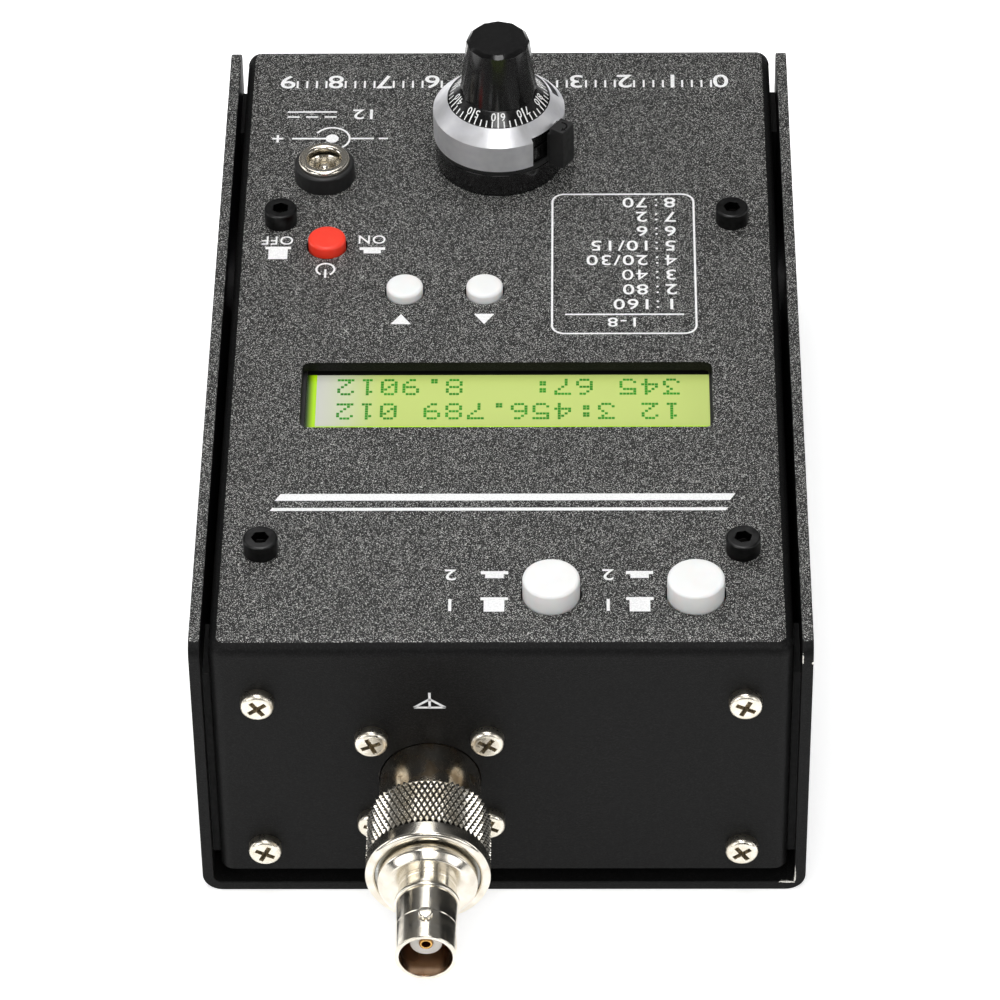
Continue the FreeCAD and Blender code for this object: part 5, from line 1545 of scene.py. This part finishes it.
@dataclass
class Display(Assembly):
    """Two rows of sixteen lit characters, showing plain numbers."""

    start: float = 28.7
    pitch: float = 3.55
    dot_pitch: float = 0.56
    line_pitch: float = 0.58
    dot: float = 0.49
    sunk: float = 0.02
    proud: float = 0.03
    row_levels: Point = (-17.67, -11.65)
    rows: tuple[str, str] = ("12 3:456.789 012", "345 67:   8.9012")
    opening: tuple[Point, Point] = ((-32.3, -23.5), (33.5, -6.9))
    edge_wide: float = 1.6
    near_line: Point = (-22.0, -21.35)
    mask_wide: float = 1.75
    # each figure as seven lines of five dots, one bit a dot
    figures: dict[str, tuple[int, ...]] = field(
        default_factory=lambda: {
            "0": (14, 17, 19, 21, 25, 17, 14),
            "1": (4, 12, 4, 4, 4, 4, 14),
            "2": (14, 17, 1, 2, 4, 8, 31),
            "3": (31, 2, 4, 2, 1, 17, 14),
            "4": (2, 6, 10, 18, 31, 2, 2),
            "5": (31, 16, 30, 1, 1, 17, 14),
            "6": (6, 8, 16, 30, 17, 17, 14),
            "7": (31, 1, 2, 4, 8, 8, 8),
            "8": (14, 17, 17, 14, 17, 17, 14),
            "9": (14, 17, 17, 15, 1, 2, 12),
            ":": (0, 12, 12, 0, 12, 12, 0),
            ".": (0, 0, 0, 0, 0, 12, 12),
        }
    )

    def dots(self, top: float) -> None:
        """Lay every dark dot of the shown characters on the glass.

        Args:
            top: level of the glass.
        """
        half = self.dot / 2
        unit = Form().prism(rectangle(-half, -half, half, half), -self.sunk, self.proud)
        drawn = Form()
        for level, row in zip(self.row_levels, self.rows):
            for place, letter in enumerate(row):
                for line, bits in enumerate(self.figures.get(letter, ())):
                    for column in range(5):
                        if not bits >> (4 - column) & 1:
                            continue
                        x = self.start - place * self.pitch - (column + 0.5) * self.dot_pitch
                        y = level + (line - 3) * self.line_pitch
                        drawn.add(unit, Matrix.Translation((x, y, top)))
        drawn.piece("lcd_dots", Body.CASE, Slot.GLASS, DOT)

    def borders(self, top: float) -> None:
        """Lay the lit edge of the block and the masked border on the glass.

        Args:
            top: level of the glass.
        """
        (left, near), (right, far) = self.opening
        inner = left + self.edge_wide
        low, high = self.near_line
        mask = far - self.mask_wide
        lit = [(left, near), (inner, near), (inner, low), (right, low), (right, high)]
        lit += [(inner, high), (inner, mask), (left, mask)]
        dark = rectangle(left, mask, right, far)
        for name, outline, slot, finish in (
            ("lcd_light_edge", lit, Slot.LIGHT, EDGE_LIGHT),
            ("lcd_border", dark, Slot.BLACK, STEEL_BLACK),
        ):
            form = Form().prism(outline, top - self.sunk, top + self.proud)
            form.piece(name, Body.CASE, slot, finish)

    def build(self) -> None:
        """Dress the frame and draw what the glass shows."""
        self.dressed("lcd_bezel", Body.CASE, Slot.BLACK, STEEL_BLACK, edge=0.15)
        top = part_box("lcd_glass")[1][2] / MM
        self.dots(top)
        self.borders(top)


@dataclass
class PanelPrint(Assembly):
    """White screen print, read from the rear side of the panel."""

    level: float = Enclosure.panel
    stroke: float = 0.36
    scale_y: float = 66.3
    scale_x: float = 36.9
    scale_pitch: float = 8.35
    scale_height: float = 3.6
    tick: Point = (-1.7, 0.3)
    inlet: Point = (-30.1, 50.5)
    power_x: float = -30.1
    table: tuple[float, float, float, float] = (7.6, -1.45, 31.8, 35.3)
    table_rows: tuple[str, ...] = ("160", "80", "40", "20/30", "10/15", "6", "2", "70")
    first_row: float = 6.2
    row_pitch: float = 3.81
    row_height: float = 2.65
    power_y: float = 15.4
    word_height: float = 2.2
    # a button's sign, foot and body: half width, near edge and far edge
    released: tuple[Drum, Drum] = ((2.15, 1.0, 1.65), (1.62, -1.6, 1.01))
    pressed: tuple[Drum, Drum] = ((2.15, 0.15, 0.85), (1.45, -0.75, 0.16))
    # triangles of the step buttons, and two plain rules where a name would stand
    outlines: tuple[tuple[Point, ...], ...] = (
        ((-18.9, 1.2), (-15.5, 1.2), (-17.2, 3.8)),
        ((-5.15, 3.8), (-3.45, 1.2), (-1.75, 3.8)),
        ((-36.3, -42.2), (36.2, -42.2), (37.1, -40.6), (-35.4, -40.6)),
        ((-37.0, -44.6), (35.5, -44.6), (35.9, -43.9), (-36.6, -43.9)),
    )
    ink: Form = field(default_factory=Form)

    def text(
        self, text: str, x: float, y: float, height: float, pitch: float = 1.0, wide: float = 1.15
    ) -> None:
        """Print figures centred on a place, their feet to the rear.

        Args:
            text: what they say.
            x: centre along X.
            y: centre along Y.
            height: height of the figures.
            pitch: spacing of the characters.
            wide: stretch of the figures along X.
        """
        place = Matrix.Translation((x, y, self.level)) @ turned(180)
        self.ink.add(lettering(text, height, pitch, wide), place)

    def patch(self, outline: Sequence[Point]) -> None:
        """Print a filled outline."""
        self.ink.add(Form().prism(outline, self.level - PRINT, self.level + PRINT))

    def line(self, start: Point, end: Point, stroke: float | None = None) -> None:
        """Print a straight stroke.

        Args:
            start: one end.
            end: the other end.
            stroke: its width, the print's own if left out.
        """
        first, last = Vector(start), Vector(end)
        run = last - first
        side = Vector((-run.y, run.x)).normalized() * (stroke or self.stroke) / 2
        corners = (first - side, last - side, last + side, first + side)
        self.patch([(corner.x, corner.y) for corner in corners])

    def arc(self, centre: Point, radius: float, start: float, sweep: float) -> None:
        """Print an arc.

        Args:
            centre: its centre.
            radius: radius of the stroke's middle.
            start: where it starts, in degrees from +X.
            sweep: how far it turns, in degrees.
        """
        half = self.stroke / 2
        form = Form().sweep(radius - half, radius + half, sweep).thicken(2 * PRINT)
        place = Matrix.Translation((*centre, self.level - PRINT)) @ turned(start)
        self.ink.add(form, place)

    def disc(self, centre: Point, radius: float) -> None:
        """Print a filled disc."""
        form = Form().lathe(rectangle(0, -PRINT, radius, PRINT), steps=32)
        self.ink.add(form, Matrix.Translation((*centre, self.level)))

    def frame(self, corners: Sequence[Point], corner: float) -> None:
        """Print a closed outline with round corners.

        Args:
            corners: its outer corners in order.
            corner: their radius.
        """
        form = Form()
        form.bm.faces.new([form.bm.verts.new((x, y, 0)) for x, y in corners])
        bmesh.ops.bevel(
            form.bm,
            geom=form.bm.verts[:],
            offset=corner,
            segments=6,
            profile=0.5,
            affect="VERTICES",
            material=-1,
        )
        bmesh.ops.inset_region(
            form.bm,
            faces=form.bm.faces[:],
            use_boundary=True,
            use_even_offset=True,
            thickness=self.stroke,
        )
        inner = max(form.bm.faces, key=lambda face: len(face.verts))
        bmesh.ops.delete(form.bm, geom=[inner], context="FACES_ONLY")
        self.ink.add(form.thicken(2 * PRINT), Matrix.Translation((0, 0, self.level - PRINT)))

    def button(self, x: float, y: float, bars: Sequence[Drum]) -> None:
        """Print the sign of a button, standing out or pressed in."""
        for half, low, high in bars:
            self.patch(rectangle(x - half, y + low, x + half, y + high))

    def heading(self) -> None:
        """Plain number scale along the rear edge."""
        tick_pitch = self.scale_pitch / 5
        near, far = (self.scale_y + end for end in self.tick)
        for number in range(10):
            x = self.scale_x - number * self.scale_pitch
            self.text(str(number), x, self.scale_y, self.scale_height)
            if number < 9:
                for tick in range(1, 5):
                    across = x - tick * tick_pitch
                    self.line((across, near), (across, far))

    def inlet_signs(self) -> None:
        """Twelve volts direct current, with the polarity of the plug."""
        x, y = self.inlet
        self.text("12", x + 5.1, y + 6.7, height=2.7)
        self.line((x + 0.6, y + 7.4), (x - 7.9, y + 7.4))
        for dash in range(3):
            start = x + 0.6 - dash * 3.2
            self.line((start, y + 6.0), (start - 2.1, y + 6.0))
        heavy = 0.42
        for start, end in ((-6.9, -1.1), (3.2, 7.2), (8.0, 9.6), (-10.3, -8.4)):
            self.line((x + start, y), (x + end, y), heavy)
        for side in (-1, 1):
            self.line((x - 9.35, y + side * heavy / 2), (x - 9.35, y + side), heavy)
        self.disc(self.inlet, radius=1.12)
        self.arc(self.inlet, radius=3.0, start=-150, sweep=300)

    def power_signs(self) -> None:
        """Off and on, their button signs and the power sign."""
        left, right = self.power_x - 8.3, self.power_x + 7.6
        self.text("OFF", left, 23.0, self.word_height, pitch=1.1, wide=0.95)
        self.button(left + 0.2, 19.7, self.released)
        self.text("ON", right, 23.2, self.word_height, pitch=1.1, wide=0.95)
        self.button(right + 0.1, 20.3, self.pressed)
        centre = (self.power_x, self.power_y)
        self.arc(centre, radius=1.5, start=-60, sweep=300)
        self.line(centre, (self.power_x, 13.2))

    def row_table(self) -> None:
        """Framed table of plain numbers, one row for each setting."""
        left, near, right, far = self.table
        self.frame(rectangle(left, near, right, far), corner=2.2)
        self.line((left + 2.35, near + 5.05), (right - 2.2, near + 5.05))
        self.text("1-8", (left + right) / 2 - 0.4, near + 3.05, height=2.3, pitch=1.15)
        for number, row in enumerate(self.table_rows):
            y = self.first_row + number * self.row_pitch
            self.text(str(number + 1), right - 4.2, y, self.row_height)
            for side in (-0.75, 0.75):
                self.disc((right - 6.5, y + side), radius=0.22)
            form = lettering(row, self.row_height, pitch=1.12, wide=1.12)
            half = form.span()[1].x
            place = Matrix.Translation((right - 8.05 - half, y, self.level)) @ turned(180)
            self.ink.add(form, place)

    def band_signs(self) -> None:
        """One and two beside the band buttons, with the button signs."""
        for x, sign_x in ((-8.0, -1.1), (16.7, 21.65)):
            self.text("2", x, -59.6, height=2.5)
            self.button(sign_x, -59.6, self.pressed)
            self.text("1", x, -66.5, height=2.7)
            self.button(sign_x, -66.4, self.released)

    def antenna_sign(self) -> None:
        """Antenna sign on the front wall, over the connector."""
        sign = PanelPrint(level=0.0, stroke=0.4)
        left, right, foot = (-2.45, 1.3), (2.45, 1.3), (0, -0.5)
        for start, end in ((left, right), (left, foot), (right, foot), ((0, 1.3), (0, -1.9))):
            sign.line(start, end)
        self.ink.add(sign.ink, out_of_front(-11.2, 42.3) @ turned(180))

    def build(self) -> None:
        """Print everything in one colour."""
        self.heading()
        self.inlet_signs()
        self.power_signs()
        for outline in self.outlines:
            self.patch(outline)
        self.row_table()
        self.band_signs()
        self.antenna_sign()
        self.ink.piece("panel_print", Body.CASE, Slot.SCALE, WHITE_INK)


@dataclass
class Interior:
    """Nodes kept as they are, given their own finishes by slot."""

    finishes: dict[Slot, Finish] = field(
        default_factory=lambda: {
            Slot.PAINT: COAT,
            Slot.OXIDE: OXIDE,
            Slot.NICKEL: DULL_NICKEL,
            Slot.ZINC: ZINC,
            Slot.ALUMINIUM: ALUMINIUM,
            Slot.BRASS: BRASS,
            Slot.GOLD: GOLD,
            Slot.PTFE: PTFE,
            Slot.BOARD: MASK,
            Slot.BLACK: BLACK_ABS,
            Slot.GLOSS: BLACK_GLOSS,
            Slot.SCALE: DIAL_BLACK,
            Slot.RED: RED_ABS,
            Slot.WHITE: WHITE_ABS,
            Slot.RUBBER: RUBBER,
            Slot.FOAM: FOAM,
            Slot.GLASS: CELL,
            Slot.LIGHT: DIFFUSER,
            Slot.BEZEL: PRIMER,
            Slot.WRAP: SLEEVE,
        }
    )

    def build(self) -> None:
        """Dress every node by its slot."""
        for name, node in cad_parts.items():
            for place in node.material_slots:
                slot = Slot(place.material.name.split(".")[0])
                place.material = self.finishes[slot].material()
                log.info("%s: kept, %s", name, place.material.name)


@dataclass
class Lamp:
    """Square soft light aimed at the instrument.

    Its share is the part of a plain white level that it alone gives a surface
    facing it. Places and sizes of the studio are in metres.
    """

    name: str
    place: Place
    size: float
    share: float
    target: Place = (0.0, -0.01, 0.04)

    def build(self) -> None:
        """Hang the lamp."""
        light = bpy.data.lights.new(self.name, "AREA")
        light.shape = "SQUARE"
        light.size = self.size
        away = Vector(self.place) - Vector(self.target)
        light.energy = self.share * math.pi**2 * away.length_squared
        lamp = put(self.name, light)
        lamp.location = self.place
        lamp.rotation_euler = away.to_track_quat("Z", "Y").to_euler()


@dataclass
class Studio:
    """Pale floor, soft lights and the camera over the front edge."""

    eye: Place = (12.169, -691.148, 641.222)
    pitch: float = 42.131
    yaw: float = -1.109
    roll: float = -0.847
    lens: float = 197.96
    sensor: float = 36.0
    nearest: float = 0.05
    sky_front: float = 0.04
    sky_rear: float = 0.2
    sky_span: Point = (-0.85, 0.3)
    floor_half: float = 6.0
    floor_level: float = -0.0002
    floor_lift: float = 0.55
    lamps: tuple[Lamp, ...] = (
        Lamp("overhead", (-0.04, -0.05, 0.6), 0.3, 0.42),
        Lamp("rear_high", (-0.05, 0.24, 0.56), 0.26, 0.22),
        Lamp("side_left", (-0.95, 0.1, 0.28), 0.4, 0.14),
        Lamp("side_right", (0.95, 0.1, 0.28), 0.4, 0.1),
        Lamp("front_high", (0.06, -0.75, 0.85), 0.45, 0.24),
        Lamp("front_left", (-0.75, -0.8, 0.5), 0.6, 0.26),
        Lamp("front_right", (0.8, -0.7, 0.45), 0.5, 0.15),
    )

    def camera(self) -> None:
        """Point a long lens at the instrument and make it the scene's camera."""
        pitch, yaw, roll = (math.radians(a) for a in (self.pitch, self.yaw, self.roll))
        level = math.cos(pitch)
        ahead = Vector((math.sin(yaw) * level, math.cos(yaw) * level, -math.sin(pitch)))
        right = ahead.cross(Vector((0, 0, 1))).normalized()
        up = right.cross(ahead)
        across = math.cos(roll) * right + math.sin(roll) * up
        above = -math.sin(roll) * right + math.cos(roll) * up
        view = Matrix((across, above, -ahead)).transposed().to_4x4()
        view.translation = Vector(self.eye) * MM
        lens = bpy.data.cameras.new("camera")
        lens.lens = self.lens
        lens.sensor_width = self.sensor
        lens.clip_start = self.nearest
        camera = put("camera", lens)
        camera.matrix_world = view
        bpy.context.scene.camera = camera

    def paper(self) -> bpy.types.Material:
        """Make matt white paper that looks a little brighter than the lamps make it.

        Returns:
            The material.
        """
        paper = bpy.data.materials.new("white_paper_sweep")
        paper.use_nodes = True
        tree = paper.node_tree
        tree.nodes.clear()
        sheet = add_node(tree, "BsdfDiffuse", {"Color": linear("#fafafa")})
        ray = add_node(tree, "LightPath")
        seen = ray.outputs["Is Camera Ray"]
        for kind in ("Is Glossy Ray", "Is Transmission Ray"):
            seen = add_node(
                tree, "Math", {"operation": "MAXIMUM"}, {0: seen, 1: ray.outputs[kind]}
            ).outputs[0]
        lift = add_node(tree, "Math", {"operation": "MULTIPLY", 1: self.floor_lift}, {0: seen})
        glow = add_node(tree, "Emission", links={"Strength": lift})
        both = add_node(tree, "AddShader", links={0: sheet, 1: glow})
        add_node(tree, "OutputMaterial", links={"Surface": both})
        return paper

    def floor(self) -> None:
        """Lay the paper under the instrument."""
        form = Form()
        bmesh.ops.create_grid(form.bm, x_segments=1, y_segments=1, size=self.floor_half)
        mesh = bpy.data.meshes.new("floor")
        form.bm.to_mesh(mesh)
        form.bm.free()
        mesh.materials.append(self.paper())
        floor = put("floor", mesh)
        floor.location.z = self.floor_level

    def world(self) -> None:
        """Soft light from above and behind, falling off towards the front."""
        world = bpy.data.worlds.new("studio")
        world.use_nodes = True
        tree = world.node_tree
        tree.nodes.clear()
        place = add_node(tree, "TexCoord")
        axes = add_node(tree, "SeparateXYZ", links={0: place.outputs["Generated"]})
        level = add_node(
            tree,
            "MapRange",
            {
                "From Min": self.sky_span[0],
                "From Max": self.sky_span[1],
                "To Min": self.sky_front,
                "To Max": self.sky_rear,
                "interpolation_type": "SMOOTHSTEP",
            },
            {"Value": axes.outputs["Y"]},
        )
        air = add_node(tree, "Background", links={"Strength": level})
        add_node(tree, "OutputWorld", links={"Surface": air})
        bpy.context.scene.world = world

    def build(self) -> None:
        """Set up the whole studio."""
        self.camera()
        self.floor()
        self.world()
        for lamp in self.lamps:
            lamp.build()
        bpy.context.scene.view_settings.view_transform = "Standard"


def main() -> None:
    """Build the instrument and its studio."""
    logging.basicConfig(level=logging.INFO, format="%(name)s: %(message)s")
    Interior().build()
    for assembly in (
        Enclosure(),
        Fasteners(),
        AntennaConnector(),
        CountingDial(),
        PowerInlet(),
        PushButtons(),
        Display(),
        PanelPrint(),
    ):
        assembly.build()
        log.info("%s is built", type(assembly).__name__)
    Studio().build()


if __name__ == "__main__":
    main()
